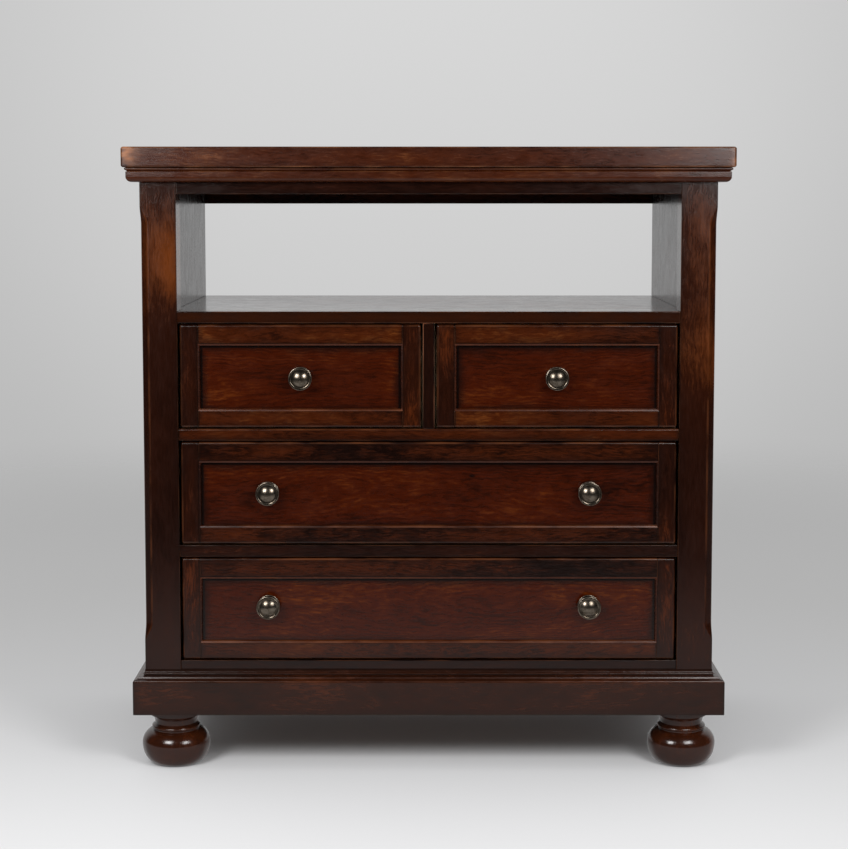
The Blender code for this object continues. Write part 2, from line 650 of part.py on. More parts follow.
def add_drawer_box(name, middle_x, half_width, floor_z, slide):
    """Sides, sub-front and back in one ring, on the dust frame, with the bottom in a groove."""
    height = ROW_OPENING - BOX_HEADROOM
    front = FRONT_Y + FRONT_SETBACK + FRONT_THICKNESS + SEAT_GAP
    back = BACK_PANEL_Y - BOX_BACK_ROOM
    middle_y = (front + back) / 2
    half_depth = (back - front) / 2
    base_z = floor_z + SEAT_GAP
    mesh = ring_mesh(name + "_box", half_width, half_depth, drawer_box_profile(height), upright=False)
    place(name + "_box", mesh, DRAWER_WOOD, (middle_x, middle_y, base_z), slide)
    half_x = half_width - BOX_WALL + BOX_GROOVE
    half_y = half_depth - BOX_WALL + BOX_GROOVE
    bottom_z = base_z + BOX_BOTTOM_RISE
    low = (middle_x - half_x, middle_y - half_y, bottom_z)
    high = (middle_x + half_x, middle_y + half_y, bottom_z + BOX_BOTTOM_THICKNESS)
    board(name + "_bottom", low, high, DRAWER_WOOD, parent=slide)


def add_drawers():
    """Two small drawers side by side over two wide ones."""
    knob_mesh = turned_mesh("knob", knob_profile(), KNOB_STEPS)
    stile_x = CENTRE_STILE_WIDTH / 2
    spread = POST_INNER_X - WIDE_KNOB_INSET
    for word, left_x, right_x in (("left", -POST_INNER_X, -stile_x), ("right", stile_x, POST_INNER_X)):
        knobs = [("knob_top_" + word, 0.0, -TOP_KNOB_DROP)]
        add_drawer(f"top_{word}_drawer", left_x, right_x, UPPER_RAIL_TOP, knob_mesh, knobs)
    for row, floor_z, rise in (("middle", LOWER_RAIL_TOP, 0.0), ("bottom", BOTTOM_RAIL_TOP, BOTTOM_KNOB_RISE)):
        knobs = [(f"knob_{row}_left", -spread, rise), (f"knob_{row}_right", spread, rise)]
        add_drawer(row + "_drawer", -POST_INNER_X, POST_INNER_X, floor_z, knob_mesh, knobs)


def main():
    clear_scene()
    add_top()
    add_front_posts()
    add_back_posts()
    add_sides()
    add_niche()
    add_drawer_carcass()
    add_plinth()
    add_feet()
    add_drawers()


main()
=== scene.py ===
# %% [markdown]
# # A cherry media chest, piece by piece
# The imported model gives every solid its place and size. Here each wooden member, moulding,
# turned foot and knob gets the soft edges and the finish of the real chest. The chest is
# stained cherry under glossy lacquer, with four framed drawers under an open niche.

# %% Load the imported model
import json
import math

import bmesh
import bpy
import numpy as np
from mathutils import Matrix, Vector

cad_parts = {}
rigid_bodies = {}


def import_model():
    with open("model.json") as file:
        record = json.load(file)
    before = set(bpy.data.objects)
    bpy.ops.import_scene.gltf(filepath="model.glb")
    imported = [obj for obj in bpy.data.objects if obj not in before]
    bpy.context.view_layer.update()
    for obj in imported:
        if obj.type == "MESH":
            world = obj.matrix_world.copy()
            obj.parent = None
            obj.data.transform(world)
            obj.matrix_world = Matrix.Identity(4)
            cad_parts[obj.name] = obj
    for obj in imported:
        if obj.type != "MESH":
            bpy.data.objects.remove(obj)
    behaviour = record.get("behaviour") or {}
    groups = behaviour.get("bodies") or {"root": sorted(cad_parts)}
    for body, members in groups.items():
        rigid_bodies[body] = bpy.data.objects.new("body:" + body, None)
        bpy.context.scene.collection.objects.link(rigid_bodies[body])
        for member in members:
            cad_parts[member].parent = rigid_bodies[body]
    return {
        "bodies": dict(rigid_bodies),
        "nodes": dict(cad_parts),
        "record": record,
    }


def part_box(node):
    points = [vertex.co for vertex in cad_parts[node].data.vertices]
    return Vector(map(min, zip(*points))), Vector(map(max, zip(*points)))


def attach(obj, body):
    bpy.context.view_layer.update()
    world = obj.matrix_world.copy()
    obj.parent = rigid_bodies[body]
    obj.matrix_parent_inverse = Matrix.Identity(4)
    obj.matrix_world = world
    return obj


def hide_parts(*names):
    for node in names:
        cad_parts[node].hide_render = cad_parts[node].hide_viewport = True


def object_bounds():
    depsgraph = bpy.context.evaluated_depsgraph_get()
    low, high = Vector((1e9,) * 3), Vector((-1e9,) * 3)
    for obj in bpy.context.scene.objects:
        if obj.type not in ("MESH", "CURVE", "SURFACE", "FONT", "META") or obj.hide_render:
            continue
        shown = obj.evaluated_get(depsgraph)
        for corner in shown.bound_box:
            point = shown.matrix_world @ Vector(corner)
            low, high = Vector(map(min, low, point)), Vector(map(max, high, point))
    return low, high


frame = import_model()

cad_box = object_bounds()
print(len(frame["nodes"]), "solids in the box", np.round(cad_box, 3).tolist())

# %% [markdown]
# ## The camera
# The photograph was taken straight from the front with a longer lens, about 3.2 m away and at
# the height of the niche. Two measurements fix such a view: where the verticals meet, which
# gives the tilt, and how wide the top is in the picture, which gives the distance. The small
# shift stands for the picture's crop.

# %% Camera
CAMERA_PLACE = (0.0, -3.4912, 1.0320)
CAMERA_TILT = 85.146          # degrees, where 90 looks level
CAMERA_LENS = 78.69
CAMERA_SHIFT = (-0.0055, -0.09)

camera = bpy.data.objects.new("camera", bpy.data.cameras.new("camera"))
bpy.context.scene.collection.objects.link(camera)
bpy.context.scene.camera = camera
camera.location = CAMERA_PLACE
camera.rotation_euler = (math.radians(CAMERA_TILT), 0.0, 0.0)
camera.data.lens = CAMERA_LENS
camera.data.shift_x, camera.data.shift_y = CAMERA_SHIFT
bpy.context.scene.view_settings.view_transform = "Standard"
print("camera", CAMERA_PLACE, "lens", CAMERA_LENS)

# %% [markdown]
# ## Nodes in few words
# A material is a small graph. A few helpers keep the graphs readable: they add a node and
# fill its inputs, or do one sum on numbers, vectors or colours. An input may be a number, a
# colour or the output of another node.


# %% Node helpers
def connect(tree, target, inputs):
    """Fills a node's inputs, by name or by position: links an output, or stores a value."""
    for socket, value in inputs.items():
        if isinstance(value, bpy.types.NodeSocket):
            tree.links.new(value, target.inputs[socket])
        else:
            target.inputs[socket].default_value = value


def node(tree, kind, inputs=None, **settings):
    """Adds a shader node, sets its options and fills its inputs."""
    made = tree.nodes.new("ShaderNode" + kind)
    for option, value in settings.items():
        setattr(made, option, value)
    connect(tree, made, inputs or {})
    return made


def math_node(tree, operation, first, second=0.0, third=0.0):
    """One sum on numbers, such as MAXIMUM; MULTIPLY_ADD gives first x second + third."""
    return node(tree, "Math", {0: first, 1: second, 2: third}, operation=operation).outputs[0]


def vector_math(tree, operation, first, second=(0.0, 0.0, 0.0)):
    """One sum on vectors, such as SUBTRACT; LENGTH gives a number."""
    made = node(tree, "VectorMath", {0: first, 1: second}, operation=operation).outputs
    return made["Value"] if operation == "LENGTH" else made[0]


def blend_colors(tree, amount, first, second, kind="MIX"):
    """Mixes two colours: amount 0 gives the first, 1 the second."""
    mix = node(tree, "Mix", {0: amount, 6: first, 7: second}, data_type="RGBA", blend_type=kind)
    return mix.outputs[2]


def spread(tree, value, low, high, to_low=0.0, to_high=1.0):
    """Stretches a value's range from low..high to to_low..to_high, with soft ends."""
    inputs = {0: value, 1: low, 2: high, 3: to_low, 4: to_high}
    return node(tree, "MapRange", inputs, interpolation_type="SMOOTHSTEP").outputs[0]


print("helpers ready")

# %% [markdown]
# ## The studio
# A seamless pale floor fades into a pale background, so no horizon shows. The two softboxes
# stand to the left and right in front of the chest, a little above it: the double glints on
# every knob and bun give their directions, and the sheen that fades along the top's front
# edge gives their size. The room in front of the chest is dark, which keeps the lacquer
# deep, and the background behind it shines in the niche at a low angle.

# %% Background
BACKDROP_TONES = (            # sine of the height angle, and the grey seen there
    (-0.36, 0.60), (-0.21, 0.50), (-0.165, 0.52), (-0.13, 0.53),
    (-0.09, 0.57), (-0.045, 0.66), (0.0, 0.668), (0.12, 0.635),
)
ROOM_LIGHT = (0.0, 0.75, 0.26, 0.64)        # sines, and the grey that matt surfaces get from there
DARK_ROOM = (0.3, 0.65, 0.03, 1.0)          # in front of the chest little of the backdrop is mirrored
MIDDLE_GLOW = (0.965, 1.0, 0.935, 1.095)    # the backdrop is brightest straight behind the chest

world = bpy.data.worlds.new("studio")
bpy.context.scene.world = world
world.use_nodes = True
world.cycles.sampling_method = "NONE"
tree = world.node_tree
tree.nodes.clear()
direction = node(tree, "SeparateXYZ", {0: node(tree, "TexCoord").outputs["Generated"]}).outputs
lowest, highest = BACKDROP_TONES[0][0], BACKDROP_TONES[-1][0]
height = node(tree, "MapRange", {0: direction["Z"], 1: lowest, 2: highest}).outputs[0]
ramp = node(tree, "ValToRGB", {0: height})
for count, (sine, grey) in enumerate(BACKDROP_TONES):
    stop = ramp.color_ramp.elements[count] if count < 2 else ramp.color_ramp.elements.new(0.5)
    stop.position = (sine - lowest) / (highest - lowest)
    stop.color = (grey, grey, grey, 1.0)
middle_glow = spread(tree, direction["Y"], *MIDDLE_GLOW)
backdrop = blend_colors(tree, 1.0, ramp.outputs[0], middle_glow, "MULTIPLY")
behind = spread(tree, direction["Y"], *DARK_ROOM)
mirrored = blend_colors(tree, 1.0, backdrop, behind, "MULTIPLY")
path = node(tree, "LightPath").outputs
clear = math_node(tree, "MAXIMUM", path["Is Camera Ray"], path["Is Transmission Ray"])
room = spread(tree, direction["Z"], *ROOM_LIGHT)
lit = blend_colors(tree, path["Is Glossy Ray"], room, mirrored)
seen = blend_colors(tree, clear, lit, backdrop)
shine = node(tree, "Background", {"Color": seen, "Strength": 1.0})
node(tree, "OutputWorld", {"Surface": shine.outputs[0]})
print("background in", len(BACKDROP_TONES), "tones")

# %% [markdown]
# Two square area lamps stand for the softboxes. A sun would give hard shadows and a point
# lamp round glints; a square lamp gives the soft shadow and the glint with a soft edge that
# the photograph has. The left one is a little brighter, as its glints are.

# %% Softboxes
SOFTBOXES = {"left": (-1.20, 25.5), "right": (1.06, 21.0)}      # place in X, and power
SOFTBOX_FRONT = -1.80
SOFTBOX_HEIGHT = 1.47
SOFTBOX_SIZE = 0.80
AIM = (0.0, -0.2, 0.60)

for word, (side, power) in SOFTBOXES.items():
    lamp = bpy.data.lights.new("softbox_" + word, "AREA")
    lamp.shape = "SQUARE"
    lamp.size = SOFTBOX_SIZE
    lamp.energy = power
    box = bpy.data.objects.new(lamp.name, lamp)
    bpy.context.scene.collection.objects.link(box)
    box.location = (side, SOFTBOX_FRONT, SOFTBOX_HEIGHT)
    towards = np.array(AIM) - np.array(box.location)
    flat = math.hypot(towards[0], towards[1])
    box.rotation_euler = (math.atan2(flat, -towards[2]), 0.0, math.atan2(-towards[0], towards[1]))
    print(box.name, "aims", [round(v, 2) for v in towards])

# %% [markdown]
# The floor is a single wide sheet that keeps the chest's shadow. It turns transparent far
# out, so it melts into the background instead of ending in a line, and its colour is painted
# dimmer away from the lamps, as painted falloff. Glossy rays that go forward or sideways find
# less of it, as if black flags stood there: that keeps the lacquer deep.

# %% Floor
FLOOR_REACH = 9.0
FLOOR_FADE = (2.2, 4.6)       # the floor thins out between these distances
FLOOR_COLOR = (0.80, 0.803, 0.813, 1.0)
FAR_FLOOR = (0.72, 0.72, 0.72, 1.0)
# painted falloff: the floor's colour turns darker with distance from the middle
FLOOR_DIM = (0.35, 1.6)       # from the first colour to the second
DARK_FLOOR = (-2.4, -0.9, 1.0, 0.5)      # in front of the chest, gloss finds less and less floor
DARK_SIDES = (0.75, 1.4, 0.0, 0.85)      # and to its left and right

square = [(x * FLOOR_REACH, y * FLOOR_REACH, 0.0) for x, y in ((-1, -1), (1, -1), (1, 1), (-1, 1))]
floor_mesh = bpy.data.meshes.new("floor")
floor_mesh.from_pydata(square, [], [(0, 1, 2, 3)])
floor = bpy.data.objects.new("floor", floor_mesh)
bpy.context.scene.collection.objects.link(floor)
paper = bpy.data.materials.new("studio floor")
paper.use_nodes = True
tree = paper.node_tree
tree.nodes.clear()
place = node(tree, "TexCoord").outputs["Object"]
reach = vector_math(tree, "LENGTH", place)
place = node(tree, "SeparateXYZ", {0: place}).outputs
beside = spread(tree, math_node(tree, "ABSOLUTE", place["X"]), *DARK_SIDES)
unlit = math_node(tree, "MAXIMUM", spread(tree, place["Y"], *DARK_FLOOR), beside)
unlit = math_node(tree, "MULTIPLY", unlit, node(tree, "LightPath").outputs["Is Glossy Ray"])
fade = math_node(tree, "MAXIMUM", spread(tree, reach, *FLOOR_FADE), unlit)
dimmed = blend_colors(tree, spread(tree, reach, *FLOOR_DIM), FLOOR_COLOR, FAR_FLOOR)
matt = node(tree, "BsdfDiffuse", {"Color": dimmed})
nothing = node(tree, "BsdfTransparent")
thinned = node(tree, "MixShader", {0: fade, 1: matt.outputs[0], 2: nothing.outputs[0]})
node(tree, "OutputMaterial", {"Surface": thinned.outputs[0]})
floor_mesh.materials.append(paper)
print("floor", 2 * FLOOR_REACH, "m across")

# %% [markdown]
# ## Grain of the cherry boards
# A board is cut out of a log, so its grain is the log's growth rings seen on the cut. The
# group below works that way: it measures the distance to the log's heart line, bends it a
# little, and turns it into rings. Thin noise stretched along the board gives the fibres,
# shorter noise the bright flecks, and very fine noise the dark pores. A second, shorter bend
# curls the fibres, because straight streaks look brushed on. Every piece carries its own
# heart line as an attribute, so no two boards match.


# %% Group and noise helpers
def new_group(name, inputs, outputs):
    """An empty node group; inputs and outputs give the sockets' names for each kind."""
    group = bpy.data.node_groups.new(name, "ShaderNodeTree")
    for way, sockets in (("INPUT", inputs), ("OUTPUT", outputs)):
        for kind, words in sockets.items():
            for word in words.split():
                group.interface.new_socket(word, in_out=way, socket_type="NodeSocket" + kind)
    return group, group.nodes.new("NodeGroupInput").outputs, group.nodes.new("NodeGroupOutput")


def stretched_noise(tree, vector, along, across, detail=2.0, roughness=0.5):
    """Noise with its own scale along and across the grain: its value and its colour."""
    scaled = vector_math(tree, "MULTIPLY", vector, (along, across, across))
    inputs = {"Vector": scaled, "Scale": 1.0, "Detail": detail, "Roughness": roughness}
    return node(tree, "TexNoise", inputs).outputs


def bend(tree, vector, source, along, across, detail, reach):
    """Moves a vector across the grain by noise, up to half the reach either way."""
    noise = stretched_noise(tree, source, along, across, detail)["Color"]
    centred = vector_math(tree, "SUBTRACT", noise, (0.5, 0.5, 0.5))
    return vector_math(tree, "ADD", vector, vector_math(tree, "MULTIPLY", centred, (0.0, reach, reach)))


print("noise helpers ready")

# %% [markdown]
# The patterns differ only in their scales and in how sharply they are cut, so a table holds
# them. Clouds are stain that took unevenly, not wood, so they ignore the bends.

# %% Grain group
RING_WIDTH = 0.0042
WOBBLE = (5.0, 60.0, 5.0)                # noise scale along and across, and radians added to the rings
SWAY = (2.2, 7.0, 2.0, 0.055)            # noise scale along and across, its detail, and the reach
CURL = (30.0, 38.0, 3.0, 0.010)
# noise scale along and across, its detail and roughness, and the range of values that is stretched
PATTERNS = {
    "Fibre": (38.0, 400.0, 3.0, 0.6, 0.30, 0.70),
    "Fleck": (60.0, 330.0, 2.0, 0.5, 0.48, 0.72),
    "Pores": (120.0, 1500.0, 1.0, 0.5, 0.60, 0.72),
    "Mottle": (24.0, 50.0, 2.0, 0.5, 0.30, 0.70),
    "Cloud": (4.5, 11.0, 2.0, 0.5, 0.28, 0.72),
}
sockets = {"Float": "Rings " + " ".join(PATTERNS)}
grain_group, given, made = new_group("board grain", {"Vector": "Vector"}, sockets)
tree, straight = grain_group, given["Vector"]
bent = bend(tree, bend(tree, straight, straight, *SWAY), straight, *CURL)
radius = vector_math(tree, "LENGTH", vector_math(tree, "MULTIPLY", bent, (0.0, 1.0, 1.0)))
turns = math_node(tree, "MULTIPLY", radius, math.tau / RING_WIDTH)
turns = math_node(tree, "MULTIPLY_ADD", stretched_noise(tree, straight, *WOBBLE[:2])[0], WOBBLE[2], turns)
rings = math_node(tree, "MULTIPLY_ADD", math_node(tree, "SINE", turns), 0.5, 0.5)
connect(tree, made, {"Rings": rings})
for pattern, (*noise_settings, low, high) in PATTERNS.items():
    source = straight if pattern == "Cloud" else bent
    noise = stretched_noise(tree, source, *noise_settings)[0]
    connect(tree, made, {pattern: spread(tree, noise, low, high)})
print("grain group with", len(grain_group.nodes), "nodes")

# %% [markdown]
# ## Stain, glaze and rubbed edges
# The stain goes deep into the pores and stays thin on hard fibres, so one value from dark to
# light picks the colour. A dark glaze is then left in corners and along edges, and rubbed off
# the open faces. The group finds it from the distance to the nearest edge: of a point's three
# distances to the sides of its board, the middle one. A board may have one small dark knot,
# at the place its attribute names. Last, hands rub the arrises orange.


# %% Stain values
def add_shares(tree, grain, shares, value):
    """Adds a share of each named grain pattern to a value."""
    for pattern, share in shares.items():
        value = math_node(tree, "MULTIPLY_ADD", grain[pattern], share, value)
    return value


LIGHT_SHARES = {"Fibre": 0.30, "Fleck": 0.10, "Mottle": 0.20, "Cloud": 0.38}
CENTRE, LEVEL = -0.52, 0.49              # added before the contrast, and after it
DEEP_TO_BODY = (-0.25, 0.60)             # between these light values one colour turns into the next
BODY_TO_WARM = (0.50, 1.25)
PORE_STAIN = 0.35
KNOT_SHAPE = (0.55, 0.0, 1.0)            # a knot is longer along the grain
KNOT_FRAY = 0.0012
KNOT_EDGE = (0.0018, 0.0050, 1.0, 0.0)   # two distances, and how dark the stain is there
GLAZE_SWING = -0.008                     # the mottle makes the glaze's edge uneven
GLAZE_EDGE = (-0.006, 0.012, 1.0, 0.0)
HAIRLINE = (0.0006, 0.0030, 1.7, 0.0)
RUB_NOISE, RUB_PATCHES = (16.0, 40.0, 3.0), (0.34, 0.70, 0.0, 0.4)
GLOSS_SHARES = {"Fibre": 0.06, "Mottle": 0.04}
WEAR_GLOSS, PORE_RELIEF = 0.06, -0.6     # rubbed places are a little rougher, and pores lie deep
print("light from", ", ".join(LIGHT_SHARES))

# %% [markdown]
# The group works in the finisher's order: the wood's own light and dark, the knot and the
# pores, then the glaze over all of them, and last the places where hands took both off. The
# glaze comes twice, as a soft uneven shade and as a hairline right at the edge.

# %% Stain group
stain_group, given, made = new_group(
    "stained cherry",
    {"Vector": "Vector Place Low High Knot", "Float": "Tone Wear Figure Contrast Glaze Gloss",
     "Color": "Deep Body Warm Rubbed"},
    {"Color": "Color", "Float": "Roughness Height"},
)
tree, deep = stain_group, given["Deep"]
grain = node(tree, "Group", {"Vector": given["Vector"]}, node_tree=grain_group).outputs
light = math_node(tree, "MULTIPLY_ADD", grain["Rings"], given["Figure"], CENTRE)
light = add_shares(tree, grain, LIGHT_SHARES, light)
level = math_node(tree, "ADD", given["Tone"], LEVEL)
light = math_node(tree, "MULTIPLY_ADD", light, given["Contrast"], level)
color = blend_colors(tree, spread(tree, light, *DEEP_TO_BODY), deep, given["Body"])
color = blend_colors(tree, spread(tree, light, *BODY_TO_WARM), color, given["Warm"])
from_knot = vector_math(tree, "SUBTRACT", given["Place"], given["Knot"])
from_knot = vector_math(tree, "LENGTH", vector_math(tree, "MULTIPLY", from_knot, KNOT_SHAPE))
from_knot = math_node(tree, "MULTIPLY_ADD", grain["Fibre"], KNOT_FRAY, from_knot)
color = blend_colors(tree, spread(tree, from_knot, *KNOT_EDGE), color, deep)
color = blend_colors(tree, math_node(tree, "MULTIPLY", grain["Pores"], PORE_STAIN), color, deep)
# the edges come from the marks low and high; on the panels they also carry a painted shadow of the frame
above = vector_math(tree, "SUBTRACT", given["Place"], given["Low"])
below = vector_math(tree, "SUBTRACT", given["High"], given["Place"])
near = node(tree, "SeparateXYZ", {0: vector_math(tree, "MINIMUM", above, below)}).outputs
smaller = math_node(tree, "MINIMUM", near["X"], near["Y"])
larger = math_node(tree, "MAXIMUM", near["X"], near["Y"])
edge_depth = math_node(tree, "MAXIMUM", smaller, math_node(tree, "MINIMUM", larger, near["Z"]))
uneven = math_node(tree, "MULTIPLY_ADD", grain["Mottle"], GLAZE_SWING, edge_depth)
for depth, edge in ((uneven, GLAZE_EDGE), (edge_depth, HAIRLINE)):
    glazed = math_node(tree, "MULTIPLY", spread(tree, depth, *edge), given["Glaze"])
    color = blend_colors(tree, glazed, color, deep)
patches = stretched_noise(tree, given["Vector"], *RUB_NOISE)[0]
rubbed = math_node(tree, "MULTIPLY", given["Wear"], spread(tree, patches, *RUB_PATCHES))
gloss = add_shares(tree, grain, GLOSS_SHARES, given["Gloss"])
connect(tree, made, {
    "Color": blend_colors(tree, rubbed, color, given["Rubbed"]),
    "Roughness": math_node(tree, "MULTIPLY_ADD", given["Wear"], WEAR_GLOSS, gloss),
    "Height": math_node(tree, "MULTIPLY_ADD", grain["Pores"], PORE_RELIEF, grain["Fibre"]),
})
print("stain group with", len(stain_group.nodes), "nodes")

# %% [markdown]
# ## The lacquers
# One chest, but not one colour: a finisher sprays darker toner on the frame than on the
# panels. Each lacquer is the same graph with its own three stain colours, its own gloss and
# its own grain direction. The Principled shader gives the clear coat's shine by itself.


# %% Lacquered materials
def new_material(name):
    """A new material, with its graph and its Principled shader."""
    material = bpy.data.materials.new(name)
    material.use_nodes = True
    return material, material.node_tree, material.node_tree.nodes["Principled BSDF"]


def mark(tree, name, output="Fac"):
    """Reads an attribute of the piece as one number, or as three with the output Vector."""
    return node(tree, "Attribute", attribute_name=name).outputs[output]


def bump(tree, height, strength, distance=0.0004):
    """A normal that follows a height."""
    return node(tree, "Bump", {"Strength": strength, "Distance": distance, "Height": height}).outputs[0]


def turned_to_grain(tree, axis):
    """Object coordinates from the piece's heart line, with the grain laid along X."""
    place = node(tree, "TexCoord").outputs["Object"]
    local = vector_math(tree, "SUBTRACT", place, mark(tree, "heart", "Vector"))
    if axis == "x":
        return local
    parts = node(tree, "SeparateXYZ", {0: local}).outputs
    order = {"y": (1, 0, 2), "z": (2, 1, 0)}[axis]
    return node(tree, "CombineXYZ", {to: parts[start] for to, start in enumerate(order)}).outputs[0]


def lacquered(name, axis, body_and_warm, figure=0.08, contrast=1.0, glaze=0.55, gloss=0.13,
              deep=(0.0055, 0.0016, 0.0009), rubbed=(0.20, 0.060, 0.018), ior=1.45):
    """Stained cherry under lacquer, with its grain along one axis."""
    material, tree, shader = new_material(name)
    inputs = {"Figure": figure, "Contrast": contrast, "Glaze": glaze, "Gloss": gloss}
    for socket, color in zip(("Deep", "Body", "Warm", "Rubbed"), (deep, *body_and_warm, rubbed)):
        inputs[socket] = (*color, 1.0)
    for socket in ("Low", "High", "Knot"):
        inputs[socket] = mark(tree, socket.lower(), "Vector")
    for socket in ("Tone", "Wear"):
        inputs[socket] = mark(tree, socket.lower())
    inputs["Vector"] = turned_to_grain(tree, axis)
    inputs["Place"] = node(tree, "TexCoord").outputs["Object"]
    stain = node(tree, "Group", inputs, node_tree=stain_group).outputs
    connect(tree, shader, {
        "Base Color": stain["Color"], "Roughness": stain["Roughness"],
        "IOR": ior, "Normal": bump(tree, stain["Height"], 0.10),
    })
    return material


print("lacquers can have the marks low, high, knot, tone and wear")

# %% [markdown]
# The case is brown, the panels are red, and the drawers' rails and the top are amber. Plinth,
# shelf and feet have the darkest toner. A dictionary keeps all finishes, so that a piece only
# has to name its own.

# %% The chest's lacquers
RED = ((0.040, 0.0046, 0.0002), (0.122, 0.025, 0.0014))
AMBER = ((0.046, 0.0080, 0.0010), (0.130, 0.034, 0.0045))
BROWN = ((0.018, 0.0036, 0.0010), (0.085, 0.016, 0.0020))
RED_BROWN = (BROWN[0], (0.110, 0.025, 0.0032))
DARK = ((0.024, 0.0055, 0.0016), (0.070, 0.015, 0.0030))
OF_TOP = {"contrast": 1.1, "glaze": 0.3, "gloss": 0.19}
OF_PLINTH = {"contrast": 1.35, "gloss": 0.17, "deep": (0.010, 0.0033, 0.0016)}
OF_FEET = {"glaze": 0.0, "gloss": 0.12, "deep": (0.013, 0.0055, 0.0035), "ior": 1.62}
FINISHES = {
    "panel": lacquered("cherry panel", "x", RED, figure=0.18, contrast=1.05, glaze=0.75),
    "side_panel": lacquered("cherry upright panel", "z", RED, figure=0.12),
    "rail": lacquered("cherry rail", "x", AMBER, contrast=1.3),
    "stile": lacquered("cherry stile", "z", BROWN, contrast=1.2),
    "board_x": lacquered("cherry board", "x", BROWN, contrast=1.3),
    "board_y": lacquered("cherry side board", "y", BROWN),
    "board_z": lacquered("cherry post", "z", RED_BROWN, figure=0.04, contrast=0.65, glaze=0.3),
    "division": lacquered("cherry division", "z", BROWN, rubbed=(0.55, 0.19, 0.09)),
    "bead": lacquered("cherry bead", "x", AMBER, contrast=0.7, glaze=0.0, gloss=0.20),
    "plinth_x": lacquered("cherry plinth", "x", DARK, **OF_PLINTH),
    "plinth_y": lacquered("cherry side plinth", "y", DARK, **OF_PLINTH),
    "slab": lacquered("cherry top", "x", AMBER, rubbed=(0.52, 0.20, 0.075), **OF_TOP),
    "slab_y": lacquered("cherry side moulding", "y", AMBER, **OF_TOP),
    "shelf": lacquered("cherry shelf", "x", DARK, contrast=0.35, gloss=0.09, deep=(0.009, 0.0028, 0.0014)),
    "liner": lacquered("cherry liner", "z", BROWN, gloss=0.19),
    "turned": lacquered("turned cherry", "z", DARK, **OF_FEET),
}
print(len(FINISHES), "lacquers")

# %% [markdown]
# ## Bare wood inside
# Drawer boxes are pale sanded hardwood without stain. Where a drawer side meets the box's front
# and back, the ends of the other board show as dovetails. They lie flush in a real box, so they
# are drawn by the material, from the joint's own sizes, and not cut as shapes.

# %% Dovetails
TAIL_PITCH = 0.041                       # from one dovetail to the next
PIN_SHARE = 0.20                         # half of a pin's width at the corner, as a share of the pitch
PIN_FLARE = 0.08                         # how much wider the pin gets through the side
WALL = 0.012                             # thickness of the boards that meet
PIN_LINE, END_LINE = 0.012, 0.0003       # half of a drawn line: a share of the pitch, and metres

sockets = {"Vector": "Vector", "Float": "Front Back"}
dovetail_group, given, made = new_group("dovetails", sockets, {"Float": "Pin Line"})
tree = dovetail_group
place = node(tree, "SeparateXYZ", {0: given["Vector"]}).outputs
from_front = math_node(tree, "SUBTRACT", place["Y"], given["Front"])
from_back = math_node(tree, "SUBTRACT", given["Back"], place["Y"])
depth = math_node(tree, "MINIMUM", from_front, from_back)
inside = math_node(tree, "LESS_THAN", depth, WALL)
step = math_node(tree, "FRACT", math_node(tree, "DIVIDE", place["Z"], TAIL_PITCH))
off_middle = math_node(tree, "ABSOLUTE", math_node(tree, "SUBTRACT", step, 0.5))
half_pin = math_node(tree, "MULTIPLY_ADD", depth, PIN_FLARE / WALL, PIN_SHARE)
room_left = math_node(tree, "SUBTRACT", half_pin, off_middle)
pin = math_node(tree, "MULTIPLY", inside, math_node(tree, "GREATER_THAN", room_left, 0.0))
near_side = math_node(tree, "LESS_THAN", math_node(tree, "ABSOLUTE", room_left), PIN_LINE)
side_line = math_node(tree, "MULTIPLY", near_side, inside)
from_end = math_node(tree, "ABSOLUTE", math_node(tree, "SUBTRACT", depth, WALL))
line = math_node(tree, "MAXIMUM", side_line, math_node(tree, "LESS_THAN", from_end, END_LINE))
connect(tree, made, {"Pin": pin, "Line": line})
print("dovetails every", TAIL_PITCH, "m")

# %% [markdown]
# The same grain group serves for bare boards, with paler colours and a satin surface. Pores
# and end grain are darker shades of the board's own dark colour.

# %% Bare wood
LINE_COLOR = (0.06, 0.035, 0.018, 1.0)
IN_PORES, IN_END_GRAIN = 0.5, (0.75, 0.72, 0.66)     # how much of the dark colour shows there
BARE_SHARES = {"Rings": 0.35, "Fibre": 0.35, "Cloud": 0.4}
FIBRE_GLOSS = 0.12


def bare_wood(name, axis, dark, pale, gloss=0.5, joints=None):
    """Unstained wood; joints gives the two planes in Y between which the dovetailed side runs."""
    material, tree, shader = new_material(name)
    grain = node(tree, "Group", {"Vector": turned_to_grain(tree, axis)}, node_tree=grain_group).outputs
    light = add_shares(tree, grain, BARE_SHARES, 0.0)
    color = blend_colors(tree, light, (*dark, 1.0), (*pale, 1.0))
    pores = math_node(tree, "MULTIPLY", grain["Pores"], PORE_STAIN)
    color = blend_colors(tree, pores, color, (*np.multiply(dark, IN_PORES), 1.0))
    if joints:
        place = node(tree, "TexCoord").outputs["Object"]
        inputs = {"Vector": place, "Front": joints[0], "Back": joints[1]}
        joint = node(tree, "Group", inputs, node_tree=dovetail_group).outputs
        color = blend_colors(tree, joint["Pin"], color, (*np.multiply(dark, IN_END_GRAIN), 1.0))
        color = blend_colors(tree, joint["Line"], color, LINE_COLOR)
    connect(tree, shader, {
        "Base Color": color, "Normal": bump(tree, grain["Fibre"], 0.2),
        "Roughness": math_node(tree, "MULTIPLY_ADD", grain["Fibre"], FIBRE_GLOSS, gloss),
    })
    return material


PALE = ((0.36, 0.22, 0.11), (0.62, 0.45, 0.27))
FINISHES |= {
    "box_x": bare_wood("box board", "x", *PALE),
    "box_y": bare_wood("carcass board", "y", *PALE),
    "ply": bare_wood("drawer bottom", "x", (0.40, 0.27, 0.15), (0.60, 0.45, 0.29), 0.6),
    "back": bare_wood("back board", "x", (0.075, 0.034, 0.018), (0.15, 0.074, 0.040), 0.6),
}
print(len(FINISHES), "lacquers and bare woods")

